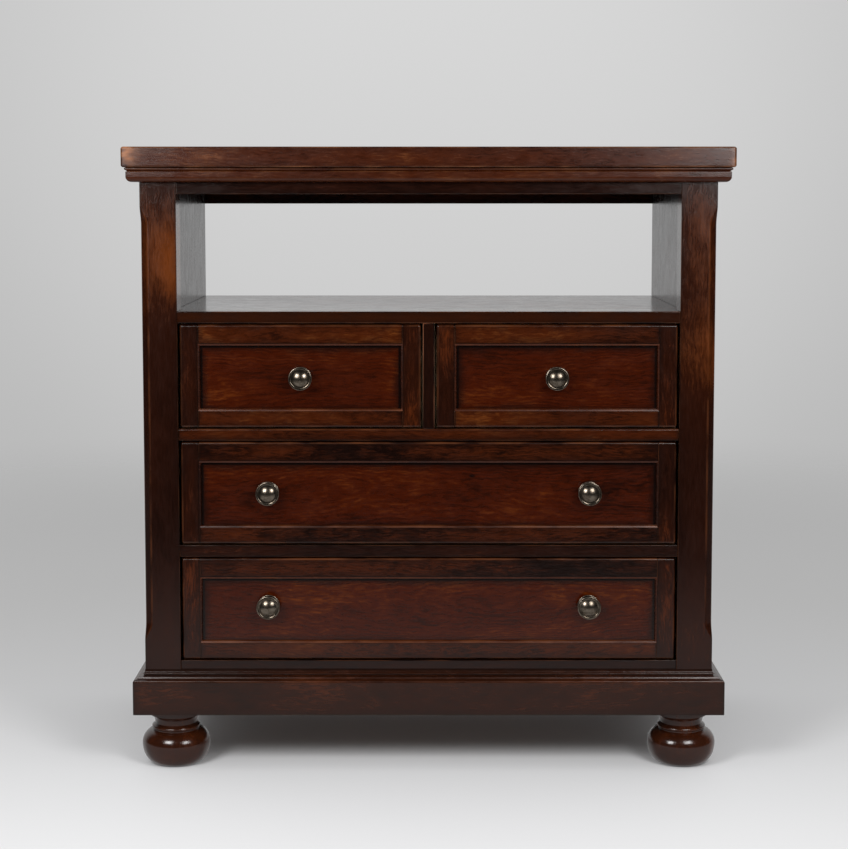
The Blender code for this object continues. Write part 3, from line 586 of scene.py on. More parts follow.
# %% [markdown]
# ## Antique metal
# The knobs are old pewter: smooth where hands polish them, darker in the hollows. The wear
# attribute marks rims and dome, and a cloudy patina changes colour and gloss a little.

# %% Metal
PATINA_SHARE, WEAR_SHARE = 0.45, 0.6     # how far pale patina and wear brighten the metal
ROUGHER = (0.04, -0.06, 0.08)            # in dark patina, in pale patina, and by wear


def aged_metal(name, dark, bright, rough):
    """Metal with a dark patina that is rubbed bright where the wear attribute is high."""
    material, tree, shader = new_material(name)
    place = node(tree, "TexCoord").outputs["Object"]
    cloud = stretched_noise(tree, place, 160.0, 160.0, 4.0, 0.6)[0]
    fine = stretched_noise(tree, place, 900.0, 900.0)[0]
    wear = mark(tree, "wear")
    rubbed = math_node(tree, "MULTIPLY", wear, WEAR_SHARE)
    mixed = math_node(tree, "MULTIPLY_ADD", spread(tree, cloud, 0.35, 0.65), PATINA_SHARE, rubbed)
    cloudy = spread(tree, cloud, 0.3, 0.7, rough + ROUGHER[0], rough + ROUGHER[1])
    connect(tree, shader, {
        "Base Color": blend_colors(tree, mixed, (*dark, 1.0), (*bright, 1.0)),
        "Roughness": math_node(tree, "MULTIPLY_ADD", wear, ROUGHER[2], cloudy),
        "Metallic": 1.0, "Normal": bump(tree, fine, 0.08, 0.0002),
    })
    return material


FINISHES["pewter"] = aged_metal("antique pewter", (0.11, 0.085, 0.062), (0.39, 0.33, 0.265), 0.25)
FINISHES["zinc"] = aged_metal("zinc screw", (0.35, 0.34, 0.32), (0.65, 0.64, 0.62), 0.35)
print(len(FINISHES), "finishes")

# %% [markdown]
# ## Surfaces from rings
# Almost every piece of a chest is a section carried along a line: a board, a moulding, a
# post. Such a surface is a stack of rings with the same number of points. The helpers round
# a section's corners, move it inwards for eased ends, and join the rings into a closed mesh.


# %% Surface helpers
ROUND_STEPS = 4               # chords in a rounded corner


def rounded_loop(corners, radii):
    """Rounds each corner C of closed outlines: C + r(b + a) - r(a cos t + b sin t) for t from 0 to 90
    degrees, where b and a point to the corners before and after. Returns points and a wear mark."""
    corners = np.asarray(corners, float)
    radii = np.broadcast_to(np.asarray(radii, float), corners.shape[:-1])[..., None, None]
    before = np.roll(corners, 1, axis=-2) - corners
    after = np.roll(corners, -1, axis=-2) - corners
    before = (before / np.linalg.norm(before, axis=-1, keepdims=True))[..., None, :]
    after = (after / np.linalg.norm(after, axis=-1, keepdims=True))[..., None, :]
    angle = np.linspace(0.0, math.pi / 2, ROUND_STEPS + 1)[:, None]
    points = corners[..., None, :] + radii * (before + after - after * np.cos(angle) - before * np.sin(angle))
    middle = np.arange(ROUND_STEPS + 1)[:, None] % ROUND_STEPS > 0
    wear = np.broadcast_to(middle, points.shape[:-1] + (1,))
    shape = points.shape[:-3] + (-1,)
    return points.reshape(*shape, 2), wear.reshape(shape).astype(float)


def inset(corners, depth):
    """Moves every edge of an outline inwards by depth: C - depth (m + n) / (1 + m.n), with m and n
    the outward normals of the two edges that meet in C."""
    corners = np.asarray(corners, float)
    edge = np.roll(corners, -1, axis=0) - corners
    area = np.sum(corners[:, 0] * np.roll(corners[:, 1], -1) - corners[:, 1] * np.roll(corners[:, 0], -1))
    normal = np.stack([edge[:, 1], -edge[:, 0]], axis=1) * np.sign(area)
    normal /= np.linalg.norm(normal, axis=1, keepdims=True)
    previous = np.roll(normal, 1, axis=0)
    return corners - depth * (normal + previous) / (1 + np.sum(normal * previous, axis=1, keepdims=True))


def skin(rings):
    """Joins ring i to ring i + 1 with quads and closes the first and the last ring."""
    stations, count = rings.shape[:2]
    grid = np.arange(stations * count).reshape(stations, count)
    after = np.roll(grid, -1, axis=1)
    quads = np.stack([grid[:-1], after[:-1], after[1:], grid[1:]], axis=-1).reshape(-1, 4)
    return quads.tolist() + [grid[0][::-1].tolist(), grid[-1].tolist()]


print("surface helpers ready")

# %% [markdown]
# ## One way to make a piece
# Each finished piece is a mesh with its place in its points, riding on its CAD body. It
# stands for one CAD solid, which it hides, and carries marks for its
# material: the heart line of its log, the corners of the box that its glaze, and on a panel its
# painted shadow, follows, a tone, and the wear of its edges. Smooth shading with weighted
# normals keeps broad faces flat right up to their rounded edges.


# %% Marks
BODY_OF = {solid: body for body, solids in frame["record"]["behaviour"]["bodies"].items() for solid in solids}
HEART_ASIDE, HEART_BEHIND, HEART_ALONG = 0.02, (0.035, 0.07), 3.0     # metres from the board's middle
dice = np.random.default_rng(7)


def set_values(mesh, name, values):
    """Stores a number, or three, for each point of a mesh."""
    values, count = np.asarray(values, np.float32), len(mesh.vertices)
    if values.shape[-1:] == (3,):
        kind, field, shape = "FLOAT_VECTOR", "vector", (count, 3)
    else:
        kind, field, shape = "FLOAT", "value", (count,)
        values = values.reshape(-1)
    filled = np.broadcast_to(values, shape).ravel()
    mesh.attributes.new(name, kind, "POINT").data.foreach_set(field, filled)


def heart_line(points, depth_axis):
    """A place for the log's heart: behind the board's face, and anywhere along its length."""
    size = np.ptp(points, axis=0)
    heart = points.min(axis=0) + size / 2 + dice.uniform(-HEART_ASIDE, HEART_ASIDE, 3)
    heart[depth_axis] += dice.uniform(*HEART_BEHIND)
    return heart + np.where(size == size.max(), dice.uniform(-HEART_ALONG, HEART_ALONG), 0.0)


# %% [markdown]
# The mesh is made from points and faces in one go, which is quicker and more exact than
# modelling by hand. Its faces are then turned outwards, and only edges sharper than the crease
# angle stay sharp.


# %% Piece helper
def add_piece(name, rings, wear, finish, solid, tone=0.0, depth_axis=1, crease=35, faces=None,
              glaze_and_shadow_box=None):
    """Makes a closed mesh of rings, marks it for its material and puts it in the CAD solid's place.
    Glaze, and on a panel the frame's painted shadow, lie along the edges of glaze_and_shadow_box,
    or of the piece's own box."""
    points = rings.reshape(-1, 3)
    mesh = bpy.data.meshes.new(name)
    mesh.from_pydata(points.tolist(), [], skin(rings) if faces is None else faces)
    low, high = glaze_and_shadow_box or (points.min(axis=0), points.max(axis=0))
    marks = {"heart": heart_line(points, depth_axis), "low": low, "high": high, "tone": tone, "wear": wear}
    for word, values in marks.items():
        set_values(mesh, word, values)
    face_outwards(mesh)
    mesh.shade_smooth()
    mesh.set_sharp_from_angle(angle=math.radians(crease))
    mesh.materials.append(FINISHES[finish])
    piece = bpy.data.objects.new(name, mesh)
    bpy.context.scene.collection.objects.link(piece)
    weighted = piece.modifiers.new("weighted normals", "WEIGHTED_NORMAL")
    weighted.keep_sharp = True
    weighted.weight = 100
    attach(piece, BODY_OF[solid])
    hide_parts(solid)
    return piece


def face_outwards(mesh):
    """Turns all faces of a closed mesh outwards."""
    shell = bmesh.new()
    shell.from_mesh(mesh)
    bmesh.ops.recalc_face_normals(shell, faces=shell.faces)
    shell.to_mesh(mesh)
    shell.free()


# %% [markdown]
# ## Boards
# A board is a rectangle carried along its grain. Its long edges are rounded, and its ends
# shrink over the last millimetre in a quarter circle, as a hand plane and sandpaper leave
# them. The places and sizes come from the CAD solids, so nothing has to be fitted.


# %% Board helper
LEAST_ROUND = 0.0001
BOARD_RUB = 0.6


def straight_bar(corners, radii, axis, start, end, ease, between=()):
    """Carries a section from start to end, by way of the places between. At an end it moves in by
    e(1 - cos a) while it advances by e sin a, for a from 90 to 0 degrees."""
    angle = np.linspace(math.pi / 2, 0.0, ROUND_STEPS + 1)
    shrink, advance = ease * (1 - np.cos(angle)), ease * (1 - np.sin(angle))
    along = np.concatenate([start + advance, between, end - advance[::-1]])
    shrinks = np.concatenate([shrink, np.zeros(len(between)), shrink[::-1]])
    loops = [rounded_loop(inset(corners, depth), np.maximum(np.subtract(radii, depth), LEAST_ROUND))
             for depth in shrinks]
    section, wear = (np.array(part) for part in zip(*loops))
    wear[1:ROUND_STEPS] = 1.0
    wear[-ROUND_STEPS:-1] = 1.0
    order = {"x": (2, 0, 1), "y": (0, 2, 1), "z": (0, 1, 2)}[axis]
    length = np.broadcast_to(along[:, None, None], section.shape[:2] + (1,))
    return np.concatenate([section, length], axis=-1)[..., order], wear


def board(name, solid, finish, axis, radius, box=None, radii=None, tone=0.0, depth_axis=1, rub=BOARD_RUB,
          glaze_and_shadow_box=None):
    """A rounded board in the box of a CAD solid, or in a box of its own."""
    low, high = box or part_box(solid)
    a, b = {"x": (1, 2), "y": (0, 2), "z": (0, 1)}[axis]
    corners = [(low[a], low[b]), (high[a], low[b]), (high[a], high[b]), (low[a], high[b])]
    at = "xyz".index(axis)
    rings, wear = straight_bar(corners, radii or radius, axis, low[at], high[at], radius)
    return add_piece(name, rings, wear * rub, finish, solid, tone, depth_axis, glaze_and_shadow_box=glaze_and_shadow_box)


print("boards ready")

# %% [markdown]
# ## The top
# The top's short ends are rubbed the most, the left one more than the right. The wear there
# falls off like a bell curve, and towards the back, so the slab gets a few extra sections
# near its ends. End grain drinks more stain, so both end faces have a lower tone.

# %% The top slab
SLAB_ROUND, SLAB_EASE = 0.0030, 0.0048
END_RUB = ((0, 3.2, 0.017), (1, 1.2, 0.008))        # which end, how strong, how far in
SLAB_TONES = (-0.06, 0.12)                          # in the middle, and at the ends
END_GRAIN_TONE = -0.40
EDGE_RUB = 0.5

low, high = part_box("top_slab")
corners = [(low[1], low[2]), (high[1], low[2]), (high[1], high[2]), (low[1], high[2])]
steps_in = np.array([0.010, 0.017, 0.025, 0.036, 0.050])
between = np.concatenate([low[0] + steps_in, [0.0], high[0] - steps_in[::-1]])
rings, wear = straight_bar(corners, SLAB_ROUND, "x", low[0], high[0], SLAB_EASE, between)
rub = 0.0
for end, strong, far in END_RUB:
    rub = rub + strong * np.exp(-((rings[..., 0] - (low, high)[end][0]) / far) ** 2)
rub = rub * np.clip((high[1] - rings[..., 1]) / (high[1] - low[1]), 0, 1) ** 4
tone = SLAB_TONES[0] + (SLAB_TONES[1] - SLAB_TONES[0]) * abs(rings[..., 0]) / high[0]
tone[[0, -1]] = END_GRAIN_TONE
rub = np.maximum(wear * EDGE_RUB, rub)
rub[[0, -1]] = 0.0
add_piece("slab", rings, rub, "slab", "top_slab", tone, 2)
print("slab", [round(high[i] - low[i], 4) for i in range(3)])

# %% [markdown]
# ## The case
# Rails, a division, side panels and their frames hold the drawers. All are plain boards with
# eased edges, so one helper makes them from their CAD boxes, and only grain and tone differ.

# %% The case boards
EASED, LINER_EASE, PANEL_EASE = 0.0012, 0.0006, 0.0004
LIT_ROUND = 0.0030            # the edge over the middle drawer is rounder and catches the lamps
WIPED = (0.0, 0.0, 0.0045)    # the glaze is wiped off this much of an upper edge
rail_low, rail_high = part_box("drawer_rail_upper")
# the rail over the middle drawer gets full rubbed colour on its edges: wear, and partly a painted highlight
# along its upper edge
OVER_MIDDLE = {"radii": (EASED, EASED, EASED, LIT_ROUND), "rub": 1.0,
               "glaze_and_shadow_box": (rail_low, np.add(rail_high, WIPED))}
# name, CAD solid, finish, direction of the grain, tone, and what else differs
CASE_BOARDS = (
    ("upper_rail", "upper_front_rail", "board_x", "x", -0.22, {}),
    ("rear_rail", "upper_back_rail", "board_x", "x", 0.5, {}),
    ("rail_over_middle_drawer", "drawer_rail_upper", "rail", "x", -0.06, OVER_MIDDLE),
    ("rail_over_bottom_drawer", "drawer_rail_lower", "board_x", "x", -0.10, {}),
    ("rail_under_drawers", "bottom_rail", "board_x", "x", -0.15, {}),
    ("division", "centre_stile", "division", "z", -0.20, {"rub": 1.0}),
    ("rear_plinth", "plinth_back", "board_x", "x", -0.1, {}),
)
for name, solid, finish, axis, tone, others in CASE_BOARDS:
    board(name, solid, finish, axis, EASED, tone=tone, **others)
for side in ("left", "right"):
    board("liner_" + side, "niche_liner_" + side, "liner", "z", LINER_EASE, tone=-0.05, depth_axis=0)
    board("rear_post_" + side, "back_post_" + side, "board_z", "z", EASED)
    for word, height in (("top", "upper"), ("base", "lower")):
        board(f"side_{word}_rail_{side}", f"side_rail_{height}_{side}", "board_y", "y", EASED, depth_axis=0)
    board("side_field_" + side, "side_panel_" + side, "side_panel", "z", PANEL_EASE, tone=-0.1,
          depth_axis=0)
print(len(CASE_BOARDS), "boards across, and five on each side")

# %% [markdown]
# The shelf is notched round the posts. Its outline from above has eight corners and is
# carried straight up, with a small round at the upper and lower edge. It is the glossiest
# board, so at a low angle it mirrors the background.

# %% Shelf
SHELF_CORNER, SHELF_EASE = 0.0008, 0.0014
HAIR = 0.0003                 # pieces that meet keep this distance
low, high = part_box("niche_shelf")
post_low, post_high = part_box("front_post_right")
post_back = post_high[1] + HAIR
inner = post_low[0] - HAIR
outline = [(-inner, low[1]), (inner, low[1]), (inner, post_back), (high[0], post_back), (high[0], high[1]),
           (low[0], high[1]), (low[0], post_back), (-inner, post_back)]
rings, wear = straight_bar(outline, SHELF_CORNER, "z", low[2], high[2], SHELF_EASE)
add_piece("shelf", rings, wear, "shelf", "niche_shelf", tone=0.04, depth_axis=2)
print("shelf", round(2 * inner, 4), "m between the posts")

# %% [markdown]
# ## Front posts
# The outer corner of each post is planed off in a stopped chamfer: full depth between two
# curved tongues, and a square corner above and below, where the mouldings meet the post. The
# chamfer's depth is a function of height, so the whole post is one stack of sections. Each
# post has a tone, and a few bands of painted sheen that lighten it where the lamps' sheen
# lies on it. A band has its height, reach and strength, and how strong it is at the chamfer,
# where 1 is the same as at the inner edge.

# %% Posts
CHAMFER = 0.0125
TONGUE = 0.040
STOP_BELOW_SLAB = 0.061
STOP_ABOVE_PLINTH = 0.046
ARRIS = 0.0012
CHAMFER_SOFT = 0.22           # rounding of the chamfer's edges, as a share of its depth
POST_TONE = {"left": -0.28, "right": -0.30}
# bands of painted sheen for each post: height, reach, strength, and strength at the chamfer
POST_PAINTED_SHEEN = {
    "left": ((0.945, 0.15, 0.66, 1.0), (0.905, 0.055, 0.60, 0.0), (0.24, 0.12, 0.28, 1.0)),
    "right": ((1.0, 0.11, 0.47, 1.0), (0.76, 0.15, 0.56, 1.0), (0.715, 0.08, 0.08, 3.0),
              (0.24, 0.12, 0.38, 1.0)),
}


def chamfer_depth(height, low_stop, high_stop):
    """CHAMFER (1 - cos(pi s)) / 2, where s rises from 0 to 1 over the tongue at either stop."""
    rise = np.clip((height - low_stop) / TONGUE, 0, 1)
    fall = np.clip((high_stop - height) / TONGUE, 0, 1)
    return CHAMFER * (1 - np.cos(math.pi * np.minimum(rise, fall))) / 2


plinth_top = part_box("plinth_front")[1][2]
slab_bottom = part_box("top_slab")[0][2]
low_stop, high_stop = plinth_top + STOP_ABOVE_PLINTH, slab_bottom - STOP_BELOW_SLAB
for side, word in ((-1, "left"), (1, "right")):
    low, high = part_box("front_post_" + word)
    inner_x, outer_x = (low[0], high[0]) if side > 0 else (high[0], low[0])
    tongues = np.linspace(0, TONGUE, 17)
    shaft = np.linspace(low_stop + TONGUE, high_stop - TONGUE, 26)[1:-1]
    heights = np.concatenate([[low[2]], low_stop + tongues, shaft, high_stop - tongues[::-1], [high[2]]])
    cut = np.maximum(chamfer_depth(heights, low_stop, high_stop), ARRIS)
    front, back, inside, outside = (at * np.ones_like(cut) for at in (low[1], high[1], inner_x, outer_x))
    xs = np.stack([inside, outside - side * cut, outside, outside, inside], axis=1)
    ys = np.stack([front, front, front + cut, back, back], axis=1)
    arris, soft = ARRIS * np.ones_like(cut), CHAMFER_SOFT * cut
    radii = np.stack([arris, soft, soft, arris, arris], axis=1)
    section, wear = rounded_loop(np.stack([xs, ys], axis=-1), radii)
    lift = np.broadcast_to(heights[:, None, None], section.shape[:2] + (1,))
    from_inside = abs(section[..., :1] - inner_x) / abs(outer_x - inner_x)
    tone = POST_TONE[word] * np.ones_like(lift)
    # each band paints sheen into the post's tone
    for height, reach, strength, at_chamfer in POST_PAINTED_SHEEN[word]:
        fading = np.exp(-((lift - height) / reach) ** 2)
        tone += strength * (1 - (1 - at_chamfer) * from_inside) * fading
    rings = np.concatenate([section, lift], axis=-1)
    add_piece("post_" + word, rings, wear * EDGE_RUB, "board_z", "front_post_" + word, tone)
print("posts with chamfers from", round(low_stop, 3), "to", round(high_stop, 3))

# %% [markdown]
# ## Mouldings
# The moulding under the slab has a bead, a narrow quirk and a face that rounds in below. The
# plinth has a plain face, a fillet and a small lip. Both run along the front and sides and are
# mitred at the corners, so each run ends in a plane at 45 degrees.


# %% Moulding helpers
def arc(center, radii, start, end, steps):
    """Points C + (r cos t, s sin t) of an arc, with t in degrees from start to end; radii is one
    radius, or the pair r and s."""
    angle = np.radians(np.linspace(start, end, steps + 1))[:, None]
    return np.asarray(center) + radii * np.concatenate([np.cos(angle), np.sin(angle)], axis=1)


def arc_from(point, radius, start, end, steps):
    """A circular arc that begins at a point."""
    angle = math.radians(start)
    center = (point[0] - radius * math.cos(angle), point[1] - radius * math.sin(angle))
    return arc(center, radius, start, end, steps)


def sharp(*points):
    """A part of a profile with sharp corners and no wear."""
    return np.array(points), 0.0


def join_profile(parts):
    """Joins the parts of a profile. Each has its own wear, which leaves out its first and last point."""
    wear = []
    for points, amount in parts:
        wear.append(np.full(len(points), amount))
        wear[-1][[0, -1]] = 0.0
    return np.concatenate([points for points, amount in parts]), np.concatenate(wear)


def add_runs(name, solid, profile, wear, finishes, tone):
    """Carries (out, height) points along the front and both sides; a point that stands out by d ends
    d further at a mitre."""
    out, height = profile.T
    case_x, front_y, back_y = post_high[0], post_low[1], cad_box[1][1]
    wear = np.tile(wear, (3, 1))
    for word, sign in (("front", 0), ("left", -1), ("right", 1)):
        if sign == 0:
            near = np.stack([-(case_x + out - HAIR), front_y - out, height], axis=1)
            far = near * (-1, 1, 1)
        else:
            near = np.stack([sign * (case_x + out), front_y - out + HAIR, height], axis=1)
            far = np.stack([sign * (case_x + out), np.full_like(out, back_y), height], axis=1)
        stations = near + np.linspace(0, 1, 3)[:, None, None] * (far - near)
        finish, depth_axis = (finishes[0], 1) if sign == 0 else (finishes[1], 0)
        add_piece(f"{name}_{word}", stations, wear, finish, f"{solid}_{word}", tone, depth_axis, crease=28)


print("moulding helpers ready")

# %% [markdown]
# Seen from the side, the top moulding is a half-round bead, a step back, and a face that
# rounds in at its foot. Arcs in that profile could be Bezier curves too; with points from
# sines the size of each round is written down.

# %% Top moulding
BEAD_OUT, BEAD_HIGH, QUIRK_HIGH = 0.0225, 0.0045, 0.0022
FACE_OUT, FACE_ROUND, FACE_EDGE = 0.0205, 0.0095, 0.0012
top = slab_bottom - HAIR
foot_of_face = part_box("top_moulding_front")[0][2]
bead = BEAD_HIGH / 2
face_top = top - BEAD_HIGH - QUIRK_HIGH
parts = [
    sharp((HAIR, top)),
    (arc((BEAD_OUT - bead, top - bead), bead, 88, -88, 12), 0.3),
    sharp((BEAD_OUT - 2 * bead, face_top)),
    (arc((FACE_OUT - FACE_EDGE, face_top - FACE_EDGE), FACE_EDGE, 90, 0, 4), 0.8),
    (arc((FACE_OUT - FACE_ROUND, foot_of_face + FACE_ROUND), FACE_ROUND, 0, -90, 12), 0.15),
    sharp((HAIR, foot_of_face)),
]
profile, wear = join_profile(parts)
add_runs("moulding", "top_moulding", profile, wear * EDGE_RUB, ("slab", "slab_y"), 0.02)
print("top moulding with", len(profile), "points")

# %% [markdown]
# The plinth's profile goes up a plain face with a soft upper edge, then a fillet whose face
# leans back and catches the lamps at both ends, and a small lip with a cove under the posts.

# %% Plinth
PLINTH_OUT, PLINTH_EDGE, PLINTH_RUB = 0.0200, 0.0012, 0.6
FACE_TOP, FACE_SOFT = 0.0164, 0.0042
FILLET_OUT, FILLET_TOP, FILLET_FOOT = 0.0127, 0.0112, 0.0148
FILLET_LEAN, FILLET_BEND = (20, 34), 0.0138      # degrees that its face leans back, and its radius
LIP_OUT, LIP_DROP, LIP_HIGH = 0.0045, 0.0077, 0.0013
LIP_LEAN, LIP_BEND = (8, 52), 0.0020
COVE_OUT, COVE_IN, COVE_TOP = 0.0036, 0.0009, 0.0030
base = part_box("plinth_front")[0][2]
fillet_foot, lip_foot, cove_top = (plinth_top - drop for drop in (FILLET_FOOT, LIP_DROP, COVE_TOP))
face_top = plinth_top - FACE_TOP - FACE_SOFT
cove_radii = (COVE_OUT - COVE_IN, LIP_DROP - LIP_HIGH - COVE_TOP)
parts = [
    sharp((HAIR, base)),
    (arc((PLINTH_OUT - PLINTH_EDGE, base + PLINTH_EDGE), PLINTH_EDGE, -90, 0, 4), 0.6),
    (arc((PLINTH_OUT - FACE_SOFT / 2, face_top), (FACE_SOFT / 2, FACE_SOFT), 0, 88, 10), 0.5),
    sharp((FILLET_OUT, fillet_foot)),
    (arc_from((FILLET_OUT, fillet_foot + HAIR), FILLET_BEND, *FILLET_LEAN, 6), 0.2),
    sharp((LIP_OUT / 2, plinth_top - FILLET_TOP), (LIP_OUT / 2, lip_foot)),
    (arc_from((LIP_OUT, lip_foot), LIP_BEND, *LIP_LEAN, 4), 0.3),
    (arc((COVE_OUT, cove_top), cove_radii, -92, -180, 8), 0.0),
    sharp((HAIR, plinth_top)),
]
profile, wear = join_profile(parts)
add_runs("plinth_moulding", "plinth", profile, wear * PLINTH_RUB, ("plinth_x", "plinth_y"), 0.05)
print("plinth with", len(profile), "points")

# %% [markdown]
# ## Turned feet and knobs
# A lathe makes a surface of revolution: a profile of radius and height, turned round an
# axis. The bun foot has a sole, a full bun, a small ring, a neck and a flared collar. The
# knob has a back plate, a stem, a head with a rim, a dished ring and a dome.


# %% Lathe
def turned(profile, center, axis, segments):
    """Rings of points (r cos t, r sin t, h) round the axis through center."""
    angle = np.linspace(0, math.tau, segments, endpoint=False)
    radius, height = profile[:, 0, None], profile[:, 1, None]
    flat = np.broadcast_to(height, (len(profile), segments))
    if axis == "z":
        parts = (radius * np.cos(angle), radius * np.sin(angle), flat)
    else:
        parts = (radius * np.cos(angle), -flat, radius * np.sin(angle))
    return np.stack(parts, axis=-1) + np.asarray(center)


def add_turned(name, solid, parts, center, axis, finish, tone, segments):
    """Turns a profile that is given as parts, each with its wear."""
    profile, wear = join_profile(parts)
    rings = turned(profile, center, axis, segments)
    add_piece(name, rings, np.repeat(wear, segments), finish, solid, tone, crease=32)


print("lathe ready")

# %% [markdown]
# A bun foot is turned on a lathe from one block. Two quarter ellipses make the bun, and above
# it sit a ring, a narrow neck and a collar that flares to the plinth.

# %% Bun feet
BUN, BUN_LEAN, BUN_MIDDLE = 0.061, 0.026, 0.0365     # its radius, its curve's half width, its height
BUN_TOP, BUN_TOP_RADIUS, SOLE, SOLE_ROUND = 0.060, 0.047, 0.040, 0.001
RING, NECK, NECK_UP, COLLAR, COLLAR_UP = 0.0435, 0.038, 0.0735, 0.047, 0.089
bun_middle = (BUN - BUN_LEAN, BUN_MIDDLE)
sole_angle, top_angle = (math.acos((r - bun_middle[0]) / BUN_LEAN) for r in (SOLE, BUN_TOP_RADIUS))
lower = BUN_MIDDLE / math.sin(sole_angle)
upper = (BUN_TOP - BUN_MIDDLE) / math.sin(top_angle)
ring_half = (NECK_UP - BUN_TOP) / 4
ring_at = (NECK_UP + BUN_TOP) / 2
foot_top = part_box("foot_front_left")[1][2]
foot_parts = [
    sharp((SOLE - SOLE_ROUND, 0.0)),
    (arc(bun_middle, (BUN_LEAN, lower), -math.degrees(sole_angle), 0, 16), 0.0),
    (arc(bun_middle, (BUN_LEAN, upper), 0, math.degrees(top_angle), 16)[1:], 0.0),
    sharp((NECK + ring_half, BUN_TOP + ring_half / 2)),
    (arc((RING - ring_half, ring_at), ring_half, -70, 70, 10), 0.3),
    sharp((NECK, NECK_UP)),
    (arc((COLLAR, NECK_UP), (COLLAR - NECK, COLLAR_UP - NECK_UP), 178, 92, 12), 0.0),
    sharp((COLLAR, COLLAR_UP), (COLLAR, foot_top)),
]
for word in ("front_left", "front_right", "back_left", "back_right"):
    low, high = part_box("foot_" + word)
    center = ((low[0] + high[0]) / 2, (low[1] + high[1]) / 2, 0.0)
    add_turned("bun_" + word, "foot_" + word, foot_parts, center, "z", "turned", 0.18, 96)
print("feet", round(2 * BUN, 3), "m across")

# %% [markdown]
# A knob is cast and then turned: a thin plate on the wood, a stem, a flaring head with a
# rounded rim, a shallow dish, and a low dome in the middle. The wear is strongest on the rims,
# where fingers and cloths go.

# %% Knobs
KNOB, FACE, EDGE_BACK = 0.0208, 0.0205, 0.0172       # its radius, and how far face and edge stand out
PLATE, PLATE_THICK, PLATE_ROUND = 0.0198, 0.0022, 0.001
STEM, STEM_END, STEM_ROUND = 0.0080, 0.0115, 0.002
RIM_WIDE, RIM_ROUND = 0.0025, 0.0014
DISH, DISH_ROUND = 0.0015, (0.0022, 0.0013)
DOME, DOME_GAP, DOME_BEND = 0.0146, 0.0006, 0.0225   # the dome is a cap of a sphere
dome_edge = math.acos(DOME / DOME_BEND)
dome_high = DOME_BEND * (1 - math.sin(dome_edge))
rim, stem_foot, dish_floor = KNOB - RIM_WIDE, STEM + STEM_ROUND, FACE - DISH
plate_face = PLATE_THICK + PLATE_ROUND
knob_parts = [
    sharp((PLATE, 0.0)),
    (arc((PLATE - PLATE_ROUND, PLATE_THICK), PLATE_ROUND, 0, 90, 4), 0.9),
    sharp((stem_foot, plate_face)),
    (arc((stem_foot, plate_face + STEM_ROUND), STEM_ROUND, -90, -180, 4), 0.0),
    (arc((rim, STEM_END), (rim - STEM, EDGE_BACK - STEM_END), 180, 92, 10), 0.1),
    (arc((KNOB - RIM_ROUND, (EDGE_BACK + FACE) / 2), (RIM_ROUND, (FACE - EDGE_BACK) / 2), -85, 85, 10), 0.9),
    sharp((rim, FACE)),
    (arc((rim - DISH_ROUND[0], dish_floor + DISH_ROUND[1]), DISH_ROUND, 0, -90, 5), 0.0),
    sharp((DOME + DOME_GAP, dish_floor)),
    (arc((0.0, dish_floor + dome_high - DOME_BEND), DOME_BEND, math.degrees(dome_edge), 89, 14), 0.2),
]
for solid in [n for n in frame["nodes"] if n.startswith("knob_")]:
    low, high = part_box(solid)
    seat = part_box(BODY_OF[solid] + "_panel")[0][1] - HAIR
    center = ((low[0] + high[0]) / 2, seat, (low[2] + high[2]) / 2)
    add_turned(solid.replace("knob_", "pull_"), solid, knob_parts, center, "y", "pewter", 0.0, 64)
print("knobs stand out", round(dish_floor + dome_high, 4), "m")

# %% [markdown]
# ## Drawer fronts
# A drawer front is a frame: two stiles the full height, two rails between them, and a
# recessed panel. The rails' grain runs across and the stiles' upwards, and a fine line shows
# where they meet. A mitred bead lies round the panel. It is carried round the window as one
# ring, with extra places near the mitres: its lower run faces up and gets a painted highlight
# of rubbed colour, and its sides get a darker tone as a painted shadow of the frame.

# %% Bead round a panel
FRAME_WIDE, SINK, STICK = 0.0355, 0.0025, 0.0037     # the lower rail is 2 SINK narrower than the upper
BEAD_LEAN = (13, 26)         # the bead's face leans back by these degrees and catches the lamps
BEAD_FACE, BEAD_EDGE = 0.0020, 0.0005
BEAD_DEEP = (0.0075, 0.0069)             # how deep the bead goes at the frame, and at the window
MITRE_REACH = 0.003          # wear and tone change over this length at a mitre
# painted highlight as rubbed colour on the upward run, and painted light and shade in the tone: darker sides
BEAD_PAINTED_HIGHLIGHT = {"base": 1.0, "side": 0.0, "top": 0.1}
BEAD_PAINTED_LIGHT_AND_SHADE = {"base": 0.1, "side": -0.25, "top": 0.1}


def bead_ring(window, front):
    """A mitred ring round a window: each section point (inset, depth) becomes one rectangle, with
    a point more on either side of every corner. Also says on which run each place lies."""
    (x0, x1), (z0, z1) = window
    lean, end_lean = np.radians(BEAD_LEAN)
    radius = BEAD_FACE / (math.sin(end_lean) - math.sin(lean))
    face = arc_from((0.0, 0.0), radius, BEAD_LEAN[0] - 90, BEAD_LEAN[1] - 90, 5)
    round_off = arc((BEAD_FACE, face[-1, 1] + BEAD_EDGE), BEAD_EDGE, -50, 0, 3)
    section = np.concatenate([[(0.0, BEAD_DEEP[0])], face, round_off, [(STICK, BEAD_DEEP[1])]])
    grow, depth = section.T
    left, right, base, top = x0 - STICK + grow, x1 + STICK - grow, z0 - STICK + grow, z1 + STICK - grow
    e = MITRE_REACH
    xs = np.stack([left, left + e, right - e] + [right] * 4 + [right - e, left + e] + [left] * 3)
    zs = np.stack([base] * 4 + [base + e, top - e] + [top] * 4 + [top - e, base + e])
    runs = ["base"] * 4 + ["side"] * 2 + ["top"] * 4 + ["side"] * 2
    ys = np.broadcast_to(front + depth, xs.shape)
    return np.stack([xs, ys, zs], axis=-1), np.repeat(runs, len(section))


